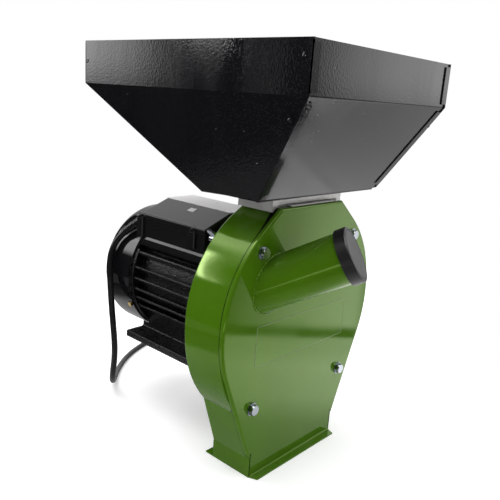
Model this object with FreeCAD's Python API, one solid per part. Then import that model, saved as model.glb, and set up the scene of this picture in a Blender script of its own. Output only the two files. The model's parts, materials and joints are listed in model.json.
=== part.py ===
"""Small electric hammer mill for grain: hopper with a slide gate, round milling chamber with an
outlet chute and a capped feed tube, and a foot-mounted motor whose shaft carries the hammers.

Every piece is drawn about the shaft axis: x to the right, y back from the front face of the cover,
z up from the shaft. save() then moves it into the part's own frame, whose origin is the centre of
the four foot holes on the underside of the motor's feet. Millimetres throughout.
"""
import FreeCAD, Part
import math
import os
from FreeCAD import Placement, Rotation, Vector

# Place of the drawing in the part's frame
SHAFT_HEIGHT = 71.0          # shaft axis above the feet
FOOT_CENTRE_Y = 142.0        # foot holes' centre, behind the cover's front face
ORIGIN_SHIFT = Vector(0, -FOOT_CENTRE_Y, SHAFT_HEIGHT)

# Milling chamber, pressed and welded from sheet
SHEET = 1.5
CHAMBER_R = 115.0
CHAMBER_BACK = 52.0          # outside of the back wall
COVER_R = 116.2
COVER_RIM = 4.4
SEAM = 0.8
COVER_TOP = (48.6, 110.5)    # half width and height of the flat top
COVER_FOOT = (70.8, -133.7)
DRUM_TOP = (46.5, 106.3)
JAW_START_DEG = -5.0         # where the drum's round wall opens out towards the chute
JAW_MID = (102.3, -60.2)
JAW_END = (86.0, -84.5)
CHUTE_HALF = 68.0
CHUTE_SHOULDER = -137.6
CHUTE_END = -157.5
CHUTE_FLANGE = 8.8
EDGE_R = 2.4                 # outside radius of the pressed edges
STRIP_FRONT = 0.4            # face of the chute's front strip, behind the cover's
MITRE = 3.5                  # slant at the ends of its flange

# Fasteners of the cover: M6 screws that pass through the chamber to wing nuts
UPPER_BOLT = (72.3, 72.7)
LOWER_BOLT = (71.6, -80.8)
BOLT_R = 2.95
BOLT_TIP = 66.0
WASHER_R, WASHER_T = 6.4, 1.4
SPACER_TUBE_R = 4.8
WING_HUB = (5.8, 4.6, 8.0)   # root and end radius, height
WING_TURN = -35.0
HEX_M6, HEAD_M6 = 10.0, 4.0

# Feed tube for cobs, welded askew on the cover
TUBE_ROOT = Vector(-53.9, 0, 40.8)
TUBE_AXIS = Vector(0.377, -0.799, 0.469).normalize()
TUBE_R, TUBE_WALL, TUBE_LENGTH = 24.0, 1.5, 79.6
CAP_R, CAP_SKIRT, CAP_TOP = 26.0, 8.4, 2.2
CAP_GAP = 0.3
CAP_GROOVE = (2.6, 3.4, 0.4)  # inset of its two walls and its depth

# Screen
SCREEN_R, SCREEN_T, SCREEN_HALF_DEG = 103.0, 1.2, 70.0
SCREEN_FRONT, SCREEN_BACK = 2.2, 50.0
SCREEN_HOLE_R, SCREEN_ROWS, SCREEN_COLUMNS = 3.0, 4, 21

# Slide gate between hopper and chamber
GUIDE_HALF, GUIDE_FRONT, GUIDE_BACK = 54.0, 7.5, 50.5
GUIDE_TOP = 121.0
GUIDE_SCREW_R = 1.7
GATE_HALF, GATE_T, GATE_Z = 46.0, 1.2, 110.95
GATE_TONGUE_HALF, GATE_TONGUE_TIP = 34.0, 1.5
GATE_PLAY = 0.35
PASSAGE = (42.0, 13.0, 45.0)  # half width, front and back

# Hopper
HOPPER_T = 1.2
RIM_Z, FOLD_Z, NECK_Z = 250.1, 209.0, 122.4
SKIRT_FRONT_Z, SKIRT_Z = 123.3, 119.7     # the side walls' lower edge runs down to the back
BASE_LIP_Z = 120.5
RIM_HALF, RIM_FRONT, RIM_BACK = 111.3, -65.7, 220.2
NECK_HALF, NECK_FRONT, NECK_BACK = 93.7, -9.2, 64.2
TAB = 9.0
HEM_Z = RIM_Z - 8.0

# Motor, frame size 71
BARREL_R, BARREL_BORE = 61.0, 56.0
BARREL_FRONT, BARREL_BACK = 60.0, 188.0
FIN_TIP_R = 69.5
FIN_LEVELS = ((29.5, 4.6), (14.0, 2.6), (1.8, 2.6), (-10.4, 2.6), (-21.0, 2.6), (-31.5, 2.6))
FOOT_HALF, FOOT_INNER, FOOT_T = 70.0, 46.0, 7.5
FOOT_FRONT, FOOT_BACK = 86.0, 198.0
WEB_TOP = 40.0               # depth below the shaft where the feet meet the barrel
FOOT_HOLE_R, FOOT_SPACING_X, FOOT_SPACING_Y = 3.5, 112.0, 90.0
SHIELD_R = 70.6
FLANGE_R, SPIGOT_R = 66.0, 35.0
HOUSING_R = 27.0             # bearing housing in both shields
RIB_R = BARREL_BORE - 4      # the shields are hollow between housing and rim
FAN_COVER_R, FAN_COVER_T = 72.7, 1.2
FAN_COVER_FRONT, FAN_COVER_BACK, FAN_COVER_CORNER = 193.0, 244.0, 12.0
GRILLE_RINGS, GRILLE_SLOT, GRILLE_BAR = (13.0, 22.5, 32.0, 41.5, 51.0), 4.6, 6.0
FAN_SCREW_Y, FAN_SCREW_DEG, FAN_SCREW_R = 198.5, (-153, -63, 27, 117), 1.6
FAN_R, FAN_HUB_R, FAN_DEPTH, FAN_BLADES = 58.0, 13.0, 20.0, 9
SHAFT_R, NOSE_R, SHAFT_TIP, SHAFT_BACK = 8.5, 7.0, 6.5, 221.0
THREAD_R = 5.9               # threaded tip that takes the rotor's nut
BEARING_R, BEARING_W = 20.0, 12.0
BEARINGS = (54.0, 178.0)     # front face of each bearing
OUTER_RACE, INNER_RACE = 16.6, 11.9
BALL_CIRCLE, GROOVE_R, BALL_R, BALLS = 14.25, 3.2, 3.15, 8
FLANGE_PCD = 85.0
CORE_FRONT, CORE_BACK = 88.0, 158.0
STATOR_BORE, STATOR_SLOTS, SLOT_FLOOR, SLOT_TOP, SLOT_HALF = 34.5, 24, 36.5, 47.5, 1.9
WINDING_R, WINDING_BORE, WINDING_REACH = 50.0, 37.0, 16.0
ROTOR_R, CAGE_R, CAGE_REACH = 34.0, 31.0, 6.0

# Terminal box
BOX_HALF, BOX_FRONT, BOX_BACK = 57.5, 89.5, 190.7
BOX_WALL = 2.4
BOX_FOOT, BOX_FOOT_Z, BOX_FLARE_Z = 59.0, 39.0, 46.0   # the wall spreads a little at its lower edge
BOX_BOTTOM, BOX_PARTING = 31.0, 69.0
GASKET_T = 0.6
LID_HALF, LID_EAVE, LID_TOP, LID_TOP_HALF = 58.5, 74.2, 88.2, 22.0
BOSS_HALF, BOSS_INNER, BOSS_REACH, BOSS_TOP = 5.2, 55.5, 61.5, 71.5
BOSSES = ((106.5, 52.5), (191.0, 47.8))      # place along y and lower end of each corner boss
CAPACITOR_R, CAPACITOR_X, CAPACITOR_Z = 13.0, 40.0, 63.0
BLOCK = (-24.0, 6.0, 112.0, 136.0, 61.2, 69.0)
STUD_R, STUD_XS, STUD_YS = 1.8, (-19.0, -9.0, 1.0), (118.0, 130.0)
LID_SCREW_R = 1.5
GLAND_R, GLAND_SLEEVE = 4.9, 7.0

# Rotor of the mill
DISC_R, DISC_T = 57.0, 3.0
DISC_FRONT, DISC_BACK = 14.0, 41.5
HUB_R = 15.0
PIN_OFFSET, PIN_R = 35.0, 3.95
HAMMER_T, HAMMER_W, HAMMER_REACH, HAMMER_BORE_R = 4.0, 20.0, 45.0, 4.0
HAMMER_SLOTS = {0: (18.5, 30.5), 1: (24.5, 36.5)}
SPACER_R = 7.0
HAMMER_PLAY = 0.3            # between a hammer and the spacers beside it
NUT_FLATS, NUT_FRONT, NUT_BACK = 19.0, 8.0, 12.6

# Mains cord: the route is in the part's own frame, on the floor at the chute's end
CORD_R = 3.5
FLOOR_Z = SHAFT_HEIGHT + CHUTE_END
CORD_REST = FLOOR_Z + CORD_R
CORD_ROUTE = [
    (-53.2, 60.9, 131.5),
    (-62.6, 76.2, 119.4),
    (-75.0, 83.7, 96.4),
    (-81.0, 74.7, 67.8),
    (-77.1, 74.7, 23.1),
    (-77.7, 66.5, -19.7),
    (-76.6, 73.6, -56.0),
    (-58.0, 98.0, -79.0),
    (-28.0, 131.0, CORD_REST),
    (12.0, 161.0, CORD_REST),
    (62.0, 181.0, CORD_REST),
    (116.0, 190.0, CORD_REST),
    (166.0, 187.0, CORD_REST),
]
COIL_CENTRE, COIL_R, COIL_WALL, COIL_HEIGHT = (168.0, 146.0), 41.0, 7.5, 14.0
TAIL_ROUTE = [
    (209.0, 146.0, FLOOR_Z + 10.5),
    (210.0, 122.0, FLOOR_Z + 13.0),
    (207.0, 98.0, FLOOR_Z + 18.5),
]
PLUG_R, PLUG_BODY, PLUG_SLEEVE, PLUG_WAIST = 18.5, 40.0, 24.0, 9.0
PLUG_GRIP = 0.55 * PLUG_BODY  # the widening part of the body, behind its face
PIN_HALF_SPACING, PLUG_PIN_R, PLUG_PIN = 9.5, 2.4, 19.0

AXIS_Y = Vector(0, 1, 0)


# Small helpers

def at(x, y, z):
    return Vector(x, y, z)


def box(x0, x1, y0, y1, z0, z1):
    return Part.makeBox(x1 - x0, y1 - y0, z1 - z0, Vector(x0, y0, z0))


def rod(radius, y0, y1, x=0.0, z=0.0):
    return Part.makeCylinder(radius, y1 - y0, Vector(x, y0, z), AXIS_Y)


def ring(outer, inner, y0, y1, x=0.0, z=0.0):
    return rod(outer, y0, y1, x, z).cut(rod(inner, y0 - 1, y1 + 1, x, z))


def hexagon(across_flats, y0, y1, x, z):
    corner = across_flats / math.sqrt(3)
    points = [Vector(x + corner * math.cos(math.radians(60 * i)), y0,
                     z + corner * math.sin(math.radians(60 * i))) for i in range(7)]
    return Part.Face(Part.makePolygon(points)).extrude(Vector(0, y1 - y0, 0))


def prism_xz(points, y0, y1):
    corners = [Vector(x, y0, z) for x, z in points]
    return Part.Face(Part.makePolygon(corners + corners[:1])).extrude(Vector(0, y1 - y0, 0))


def prism_yz(points, x0, x1):
    corners = [Vector(x0, y, z) for y, z in points]
    return Part.Face(Part.makePolygon(corners + corners[:1])).extrude(Vector(x1 - x0, 0, 0))


def fuse(shapes):
    shapes = list(shapes)
    if len(shapes) == 1:
        return shapes[0]
    return shapes[0].multiFuse(shapes[1:]).removeSplitter()


def mirrored(shape):
    return shape.mirror(Vector(0, 0, 0), Vector(1, 0, 0))


def both_sides(shape):
    return [shape, mirrored(shape)]


def edges_where(shape, test):
    return [e for e in shape.Edges if test(e.BoundBox)]


def save(name, shapes, moved=True):
    """Write one node: a solid, or a group of separate solids."""
    shapes = list(shapes) if isinstance(shapes, (list, tuple)) else [shapes]
    solids = [s for shape in shapes for s in shape.Solids]
    if moved:
        solids = [s.translated(ORIGIN_SHIFT) for s in solids]
    shape = solids[0] if len(solids) == 1 else Part.makeCompound(solids)
    box_ = shape.BoundBox
    state = "ok " if shape.isValid() and all(s.Volume > 0 for s in solids) else "BAD"
    print(state, name, len(solids), round(shape.Volume),
          "x %.1f %.1f y %.1f %.1f z %.1f %.1f" % (box_.XMin, box_.XMax, box_.YMin, box_.YMax,
                                                  box_.ZMin, box_.ZMax))
    shape.exportStep(os.path.join("parts", name + ".step"))


# Milling chamber

def tangent_deg(corner, side, radius):
    """Angle of the point where a line from an outside corner touches a circle about the shaft."""
    x, z = corner
    return math.degrees(math.atan2(z, x) + side * math.acos(radius / math.hypot(x, z)))


def rim_point(degrees, y, radius):
    a = math.radians(degrees)
    return Vector(radius * math.cos(a), y, radius * math.sin(a))


def closed_face(right_edges):
    """Mirror the right-hand edges, listed from bottom to top, and join them to a face."""
    left = [mirrored(e) for e in right_edges]
    low = right_edges[0].Vertexes[0].Point
    high = right_edges[-1].Vertexes[-1].Point
    top = Part.makeLine(high, Vector(-high.x, high.y, high.z))
    bottom = Part.makeLine(low, Vector(-low.x, low.y, low.z))
    edges = Part.sortEdges(right_edges + left + [top, bottom])[0]
    return Part.Face(Part.Wire(edges))


def cover_outline(y):
    low, high = tangent_deg(COVER_FOOT, 1, COVER_R), tangent_deg(COVER_TOP, -1, COVER_R)
    foot, top = at(COVER_FOOT[0], y, COVER_FOOT[1]), at(COVER_TOP[0], y, COVER_TOP[1])
    start, middle, end = (rim_point(a, y, COVER_R) for a in (low, (low + high) / 2, high))
    return closed_face([
        Part.makeLine(foot, start),
        Part.Arc(start, middle, end).toShape(),
        Part.makeLine(end, top),
    ])


def drum_outline(y):
    high = tangent_deg(DRUM_TOP, -1, CHAMBER_R)
    start, middle, end_of_round = (rim_point(a, y, CHAMBER_R)
                                   for a in (JAW_START_DEG, (JAW_START_DEG + high) / 2, high))
    jaw_end = at(JAW_END[0], y, JAW_END[1])
    shoulder, end = at(CHUTE_HALF, y, CHUTE_SHOULDER), at(CHUTE_HALF, y, CHUTE_END)
    return closed_face([
        Part.makeLine(end, shoulder),
        Part.makeLine(shoulder, jaw_end),
        Part.Arc(jaw_end, at(JAW_MID[0], y, JAW_MID[1]), start).toShape(),
        Part.Arc(start, middle, end_of_round).toShape(),
        Part.makeLine(end_of_round, at(DRUM_TOP[0], y, DRUM_TOP[1])),
    ])


def perimeter_edges(shape, y, lowest):
    """Edges in the plane at y, without the ones along the bottom."""
    return edges_where(shape, lambda b: b.YLength < 1e-6 and abs(b.YMin - y) < 1e-6
                       and b.ZMax > lowest + 0.5)


def bolt_places():
    return [(s * x, z) for x, z in (UPPER_BOLT, LOWER_BOLT) for s in (-1, 1)]


def flange_places():
    r = FLANGE_PCD / 2
    return [(r * math.cos(math.radians(a)), r * math.sin(math.radians(a))) for a in (45, 135, 225, 315)]


def tube_at(radius, start, end):
    """A cylinder on the feed tube's axis, between two distances from the cover's face."""
    return Part.makeCylinder(radius, end - start, TUBE_ROOT + TUBE_AXIS * start, TUBE_AXIS)


def chamber_drum():
    front = COVER_RIM + SEAM
    outer = drum_outline(front).extrude(Vector(0, CHAMBER_BACK - front, 0))
    outer = outer.makeFillet(EDGE_R, perimeter_edges(outer, CHAMBER_BACK, CHUTE_END))
    inner = drum_outline(front).makeOffset2D(-SHEET).extrude(Vector(0, CHAMBER_BACK - SHEET - front, 0))
    shell = outer.cut(inner)
    inside = CHUTE_HALF - SHEET
    shell = shell.cut(box(-inside, inside, 0, CHAMBER_BACK - SHEET, CHUTE_END - 1, CHUTE_SHOULDER))
    cheek = box(inside, CHUTE_HALF, STRIP_FRONT, front, CHUTE_END, COVER_FOOT[1] - 0.5)
    flange = box(-CHUTE_HALF, CHUTE_HALF, CHAMBER_BACK - SHEET, CHAMBER_BACK + CHUTE_FLANGE,
                 CHUTE_END, CHUTE_END + SHEET)
    shell = fuse([shell, flange] + both_sides(cheek))
    half, y0, y1 = PASSAGE
    shell = shell.cut(box(-half, half, y0, y1, 90, 120))
    for x, z in bolt_places():
        shell = shell.cut(rod(BOLT_R + 0.2, 45, 60, x, z))
    for x, z in flange_places():
        shell = shell.cut(rod(BOLT_R + 0.35, 45, 60, x, z))
    return shell.cut(rod(SPIGOT_R, 45, 60))


def chute_front():
    """The strip across the chute's mouth, its lower edge bent forwards to a mitred flange."""
    front, inside, half = STRIP_FRONT, CHUTE_HALF - SHEET, CHUTE_HALF - 0.5
    wall = box(-inside, inside, front, front + SHEET, CHUTE_END, COVER_FOOT[1] - 0.3)
    corners = [Vector(-half, front, CHUTE_END), Vector(half, front, CHUTE_END),
               Vector(half - MITRE, front - CHUTE_FLANGE, CHUTE_END),
               Vector(MITRE - half, front - CHUTE_FLANGE, CHUTE_END)]
    flange = Part.Face(Part.makePolygon(corners + corners[:1])).extrude(Vector(0, 0, SHEET))
    strip = fuse([wall, flange])
    bend = edges_where(strip, lambda b: abs(b.YMin - front) < 1e-6 and b.YLength < 1e-6
                       and abs(b.ZMin - CHUTE_END - SHEET) < 1e-6 and b.XLength > 100)
    return strip.makeFillet(1.6, bend) if bend else strip


def front_cover():
    plate = cover_outline(0).extrude(Vector(0, COVER_RIM, 0))
    plate = plate.makeFillet(EDGE_R, perimeter_edges(plate, 0, COVER_FOOT[1]))
    hollow = cover_outline(SHEET).makeOffset2D(-SHEET).extrude(Vector(0, COVER_RIM, 0))
    plate = plate.cut(hollow)
    plate = plate.cut(box(-80, 80, SHEET, COVER_RIM + 1, COVER_FOOT[1] - 1, COVER_FOOT[1] + SHEET + 0.1))
    for x, z in bolt_places():
        plate = plate.cut(rod(BOLT_R + 0.2, -1, 3, x, z))
    return plate.cut(tube_at(TUBE_R - TUBE_WALL, -30, 30))


def feed_tube():
    tube = tube_at(TUBE_R, -60, TUBE_LENGTH).cut(tube_at(TUBE_R - TUBE_WALL, -61, TUBE_LENGTH + 1))
    return tube.cut(box(-200, 200, 0, 200, -200, 200))


def tube_cap():
    top = TUBE_LENGTH + CAP_GAP
    cap = tube_at(CAP_R, top - CAP_SKIRT, top + CAP_TOP)
    face = edges_where(cap, lambda b: b.XLength > 5 and b.YMin < -60 and
                       abs(b.Center.distanceToPoint(TUBE_ROOT) - top - CAP_TOP) < 0.5)
    cap = cap.makeFillet(1.5, face)
    cap = cap.cut(tube_at(TUBE_R + CAP_GAP, top - CAP_SKIRT - 1, top))
    outer, inner, deep = CAP_GROOVE
    groove = tube_at(CAP_R - outer, top + CAP_TOP - deep, top + CAP_TOP + 1)
    return cap.cut(groove.cut(tube_at(CAP_R - inner, top, top + 10)))


def cover_bolts():
    bolts = []
    for x, z in bolt_places():
        head = hexagon(HEX_M6, -WASHER_T - HEAD_M6, -WASHER_T, x, z)
        crown = Part.makeCone(HEX_M6 * 0.47, HEX_M6 * 0.72, HEAD_M6,
                              Vector(x, -WASHER_T - HEAD_M6, z), AXIS_Y)
        bolts.append(fuse([head.common(crown), rod(BOLT_R, -WASHER_T, BOLT_TIP, x, z)]))
    return bolts


def cover_washers():
    front = [ring(WASHER_R, BOLT_R, -WASHER_T, 0, x, z) for x, z in bolt_places()]
    back = [ring(WASHER_R, BOLT_R, CHAMBER_BACK, CHAMBER_BACK + WASHER_T, x, z) for x, z in bolt_places()]
    return front + back


def wing_nuts():
    start = CHAMBER_BACK + WASHER_T
    profile = [(start + 2.0, 3.0), (start + 1.0, 5.5), (start + 5.0, 11.5), (start + 10.5, 12.0),
               (start + 11.5, 9.5), (start + 7.0, 3.0)]
    nuts = []
    for x, z in bolt_places():
        wing = prism_yz([(y, z + r) for y, r in profile], x - 1.2, x + 1.2)
        other = prism_yz([(y, z - r) for y, r in profile], x - 1.2, x + 1.2)
        hub = Part.makeCone(*WING_HUB, Vector(x, start, z), AXIS_Y)
        nut = fuse([hub, wing, other]).cut(rod(BOLT_R, start - 1, start + 20, x, z))
        nut.rotate(Vector(x, 0, z), AXIS_Y, WING_TURN)
        nuts.append(nut)
    return nuts


def cover_spacers():
    return [ring(SPACER_TUBE_R, BOLT_R + 0.15, SHEET + 0.1, CHAMBER_BACK - SHEET - 0.1, x, z)
            for x, z in bolt_places()]


def screen():
    y0, y1 = SCREEN_FRONT, SCREEN_BACK
    sheet = ring(SCREEN_R, SCREEN_R - SCREEN_T, y0, y1)
    reach = 2 * SCREEN_R
    left, right = (math.radians(270 + s * SCREEN_HALF_DEG) for s in (-1, 1))
    wedge = prism_xz([(0, 0), (reach * math.cos(left), reach * math.sin(left)), (0, -3 * reach),
                      (reach * math.cos(right), reach * math.sin(right))], y0, y1)
    sheet = sheet.common(wedge)
    holes = []
    for column in range(SCREEN_COLUMNS):
        a = math.radians(270 + (column - (SCREEN_COLUMNS - 1) / 2) * 2 * (SCREEN_HALF_DEG - 3)
                         / SCREEN_COLUMNS)
        outward = Vector(math.cos(a), 0, math.sin(a))
        for row in range(SCREEN_ROWS):
            start = outward * (SCREEN_R - 5) + at(0, y0 + (y1 - y0) * (row + 0.5) / SCREEN_ROWS, 0)
            holes.append(Part.makeCylinder(SCREEN_HOLE_R, 8, start, outward))
    return sheet.cut(Part.makeCompound(holes))


def screen_rests():
    """Two flat bars above the screen's ends, welded to the chamber's wall."""
    bars = []
    for side in (-1, 1):
        bar = box(SCREEN_R - 5, CHAMBER_R - SHEET - 0.4, SHEET + 1.5, CHAMBER_BACK - SHEET, 0.3, 3.3)
        bar.rotate(Vector(0, 0, 0), AXIS_Y, 90 - SCREEN_HALF_DEG)
        bars.append(bar if side > 0 else mirrored(bar))
    return bars


# Slide gate

def gate_guide():
    wall = SHEET
    low, top = DRUM_TOP[1], GUIDE_TOP
    half, y0, y1 = PASSAGE
    shell = box(-GUIDE_HALF, GUIDE_HALF, GUIDE_FRONT, GUIDE_BACK, low, top)
    shell = shell.cut(box(-GUIDE_HALF + wall, GUIDE_HALF - wall, GUIDE_FRONT + wall, GUIDE_BACK - wall,
                          GATE_Z + GATE_T + 2, top + 1))
    shell = shell.cut(box(-half, half, y0, y1, low - 1, top + 1))
    slot = box(-GATE_HALF - 0.3, GATE_HALF + 0.3, GUIDE_FRONT - 1, y1 + 3.3,
               GATE_Z - GATE_PLAY, GATE_Z + GATE_T + GATE_PLAY)
    shell = shell.cut(slot)
    for x, y in guide_screw_places():
        shell = shell.cut(Part.makeCylinder(GUIDE_SCREW_R + 0.1, 30, Vector(x, y, low - 5)))
    return shell


def slide_gate():
    half, y0, y1 = PASSAGE
    plate = box(-GATE_HALF, GATE_HALF, GUIDE_FRONT + 0.2, y1 + 3.0, GATE_Z, GATE_Z + GATE_T)
    tongue = box(-GATE_TONGUE_HALF, GATE_TONGUE_HALF, GATE_TONGUE_TIP, GUIDE_FRONT + 1,
                 GATE_Z, GATE_Z + GATE_T)
    gate = fuse([plate, tongue])
    return gate.cut(Part.makeCylinder(1.4, 6, Vector(0, 4.6, GATE_Z - 2)))


def guide_screw_places():
    return [(sx * 49.0, y) for sx in (-1, 1) for y in (18.0, 40.0)]


def pan_screw(x, y, z, head_r, head_h, shank_r, length):
    """A pan-head screw pointing down, its head resting at height z."""
    head = Part.makeCylinder(head_r, head_h, Vector(x, y, z))
    head = head.makeFillet(head_h * 0.45, edges_where(head, lambda b: b.ZMin > z + head_h - 1e-6))
    arm, low, high = head_r * 0.6, z + head_h * 0.5, z + head_h + 1
    slot = fuse([box(x - arm, x + arm, y - 0.4, y + 0.4, low, high),
                 box(x - 0.4, x + 0.4, y - arm, y + arm, low, high)])
    return fuse([head, Part.makeCylinder(shank_r, length, Vector(x, y, z - length))]).cut(slot)


def guide_screws():
    low = GATE_Z + GATE_T + 2
    return [pan_screw(x, y, low, 3.2, 2.2, GUIDE_SCREW_R, low - DRUM_TOP[1] - 0.2)
            for x, y in guide_screw_places()]


# Hopper

def lerp(a, b, t):
    return a + (b - a) * t


def slab(outer, thickness, inward, axis, span):
    """A folded sheet: the outer polyline and its copy moved inward, extruded along axis."""
    inner = [(a + inward * thickness, z) for a, z in outer]
    points = outer + inner[::-1]
    make = prism_yz if axis == "x" else prism_xz
    sheet = make(points, -span, 3 * span)
    fold = edges_where(sheet, lambda b: b.ZLength < 1e-6 and abs(b.ZMin - FOLD_Z) < 1e-6
                       and max(b.XLength, b.YLength) > span)
    return sheet.makeFillet(3.0, fold[:1]) if fold else sheet


def hopper_envelope(inset_x, inset_y, low):
    """The hopper's outer volume, drawn in by the insets, down to the height low."""
    t = (FOLD_Z - low) / (FOLD_Z - NECK_Z)
    half = lerp(RIM_HALF, NECK_HALF, t) - inset_x
    y0 = lerp(RIM_FRONT, NECK_FRONT, t) + inset_y
    y1 = lerp(RIM_BACK, NECK_BACK, t) - inset_y
    rim = (RIM_HALF - inset_x, RIM_FRONT + inset_y, RIM_BACK - inset_y)

    def rectangle(half_x, front, back, z):
        return Part.makePolygon([Vector(-half_x, front, z), Vector(half_x, front, z),
                                 Vector(half_x, back, z), Vector(-half_x, back, z),
                                 Vector(-half_x, front, z)])
    funnel = Part.makeLoft([rectangle(half, y0, y1, low), rectangle(*rim, FOLD_Z)], True, True)
    band = box(-rim[0], rim[0], rim[1], rim[2], FOLD_Z, RIM_Z)
    return fuse([funnel, band])


def hopper_end(front):
    """The front or back wall, between the two side walls, with a hem along its rim."""
    rim, neck = (RIM_FRONT, NECK_FRONT) if front else (RIM_BACK, NECK_BACK)
    inward = 1 if front else -1
    edge = HOPPER_T * inward
    line = [(rim + edge, RIM_Z), (rim + edge, FOLD_Z), (neck + edge, NECK_Z)]
    wall = slab(line, HOPPER_T, inward, "x", 200)
    hem = box(-200, 200, *sorted((rim + edge, rim + 3 * edge)), HEM_Z, RIM_Z)
    room = hopper_envelope(HOPPER_T, 0, NECK_Z)
    return fuse([wall, hem]).common(room)


def chamfered(low, high, cut, width):
    return [(0, low), (width, low + cut), (width, high - cut), (0, high)]


def hopper_side():
    """The right wall with its skirt and hem, and the tabs folded over the front and back walls."""
    t = (FOLD_Z - SKIRT_Z) / (FOLD_Z - NECK_Z)
    foot = lerp(RIM_HALF, NECK_HALF, t)
    line = [(RIM_HALF, RIM_Z), (RIM_HALF, FOLD_Z), (foot, SKIRT_Z)]
    wall = slab(line, HOPPER_T, -1, "y", 300)
    wall = wall.common(hopper_envelope(0, 0, SKIRT_Z))
    trimmed = prism_yz([(NECK_FRONT - 5, 100), (NECK_BACK + 5, 100), (NECK_BACK + 5, SKIRT_Z),
                        (NECK_FRONT - 5, SKIRT_FRONT_Z)], 0, 2 * RIM_HALF)
    end = 3 * HOPPER_T + 0.1
    hem = box(RIM_HALF - 2 * HOPPER_T, RIM_HALF - HOPPER_T, RIM_FRONT + end, RIM_BACK - end,
              HEM_Z, RIM_Z)
    return [fuse([wall.cut(trimmed), hem])] + hopper_tabs(True) + hopper_tabs(False)


def hopper_tabs(front):
    rim, neck = (RIM_FRONT, NECK_FRONT) if front else (RIM_BACK, NECK_BACK)
    inward = 1 if front else -1
    upper = prism_xz([(RIM_HALF - a, z) for a, z in chamfered(FOLD_Z + 2, RIM_Z - 1.5, 5, TAB)],
                     *sorted((rim, rim + inward * HOPPER_T)))
    z_low, z_high = NECK_Z + 1.5, FOLD_Z - 2.5

    def place(a, z):
        t = (FOLD_Z - z) / (FOLD_Z - NECK_Z)
        return Vector(lerp(RIM_HALF, NECK_HALF, t) - a, lerp(rim, neck, t), z)
    corners = [place(a, z) for a, z in chamfered(z_low, z_high, 6, TAB)]
    lower = Part.Face(Part.makePolygon(corners + corners[:1])).extrude(Vector(0, inward * HOPPER_T, 0))
    return [upper, lower]


def hopper_base():
    z0 = GUIDE_TOP
    t = HOPPER_T
    plate = box(-NECK_HALF + 2.2, NECK_HALF - 2.2, NECK_FRONT + 3.0, NECK_BACK - 3.0, z0, z0 + t)
    lip = box(-NECK_HALF + 2.2, NECK_HALF - 2.2, NECK_FRONT + 3.0, NECK_FRONT + 3.0 + t, BASE_LIP_Z, z0)
    plate = fuse([plate, lip])
    half, y0, y1 = PASSAGE
    plate = plate.cut(box(-half - 2, half + 2, y0 - 2, y1 + 2, z0 - 1, z0 + 5))
    for x, y in hopper_screw_places():
        plate = plate.cut(Part.makeCylinder(2.1, 10, Vector(x, y, z0 - 5)))
    return plate


def hopper_screw_places():
    return [(sx * 20.0, y) for sx in (-1, 1) for y in (GUIDE_FRONT + 2.9, GUIDE_BACK - 2.9)]


def hopper_screws():
    z = GUIDE_TOP + HOPPER_T
    return [pan_screw(x, y, z, 1.9, 1.4, 1.2, 5.0) for x, y in hopper_screw_places()]


# Motor

def motor_frame():
    body = rod(BARREL_R, BARREL_FRONT, BARREL_BACK)
    pieces = [body]
    for z, thick in FIN_LEVELS:
        root = math.sqrt(BARREL_R ** 2 - z ** 2) - 2.5
        tip = math.sqrt(FIN_TIP_R ** 2 - z ** 2)
        fin = box(root, tip, BARREL_FRONT + 5, BARREL_BACK, z - thick / 2, z + thick / 2)
        tip_edges = edges_where(fin, lambda b, tip=tip: b.YLength > 1 and b.XMin > tip - 1e-6)
        pieces += both_sides(fin.makeFillet(thick * 0.4, tip_edges))
    return fuse(pieces).cut(rod(BARREL_BORE, 0, 300))


def motor_feet():
    """The two angle-shaped feet that the barrel sits on, hollowed behind it to clear the fan cover."""
    foot = box(FOOT_INNER - 1, FOOT_HALF, FOOT_FRONT, FOOT_BACK, -SHAFT_HEIGHT, -SHAFT_HEIGHT + FOOT_T)
    foot = foot.makeFillet(1.2, edges_where(foot, lambda b: b.YLength > 1 and b.XMin > FOOT_HALF - 1e-6))
    web = prism_xz([(FOOT_INNER - 6, -SHAFT_HEIGHT), (FOOT_INNER, -SHAFT_HEIGHT),
                    (FOOT_INNER, -WEB_TOP), (FOOT_INNER - 6, -WEB_TOP)], FOOT_FRONT, FOOT_BACK)
    foot = foot.fuse(web).removeSplitter()
    inside = [e for e in foot.Edges if e.BoundBox.YLength > 100
              and abs(e.BoundBox.XMin - FOOT_INNER) < 1e-6
              and abs(e.BoundBox.ZMin + SHAFT_HEIGHT - FOOT_T) < 1e-6]
    if inside:
        foot = foot.makeFillet(2.5, inside[:1])
    foot = foot.cut(rod(BARREL_R, 0, 300)).cut(rod(FAN_COVER_R + 0.6, BARREL_BACK, 300))
    for z, thick in FIN_LEVELS:
        foot = foot.cut(box(0, FIN_TIP_R, 0, 300, z - thick / 2, z + thick / 2))
    for sy in (-1, 1):
        foot = foot.cut(Part.makeCylinder(FOOT_HOLE_R, 30, Vector(
            FOOT_SPACING_X / 2, FOOT_CENTRE_Y + sy * FOOT_SPACING_Y / 2, -SHAFT_HEIGHT - 5)))
    return both_sides(foot)


def front_shield():
    shield = fuse([rod(FLANGE_R, CHAMBER_BACK, BARREL_FRONT), rod(BARREL_BORE, CHAMBER_BACK, 66),
                   rod(SPIGOT_R, CHAMBER_BACK - SHEET, CHAMBER_BACK + 1)])
    shield = shield.cut(ring(RIB_R, HOUSING_R, 58, 70))
    shield = shield.cut(rod(BEARING_R, BEARINGS[0], 70)).cut(rod(SHAFT_R + 1.0, 40, 60))
    for x, z in flange_places():
        shield = shield.cut(rod(BOLT_R + 0.05, 40, 58, x, z))
    return shield


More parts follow.
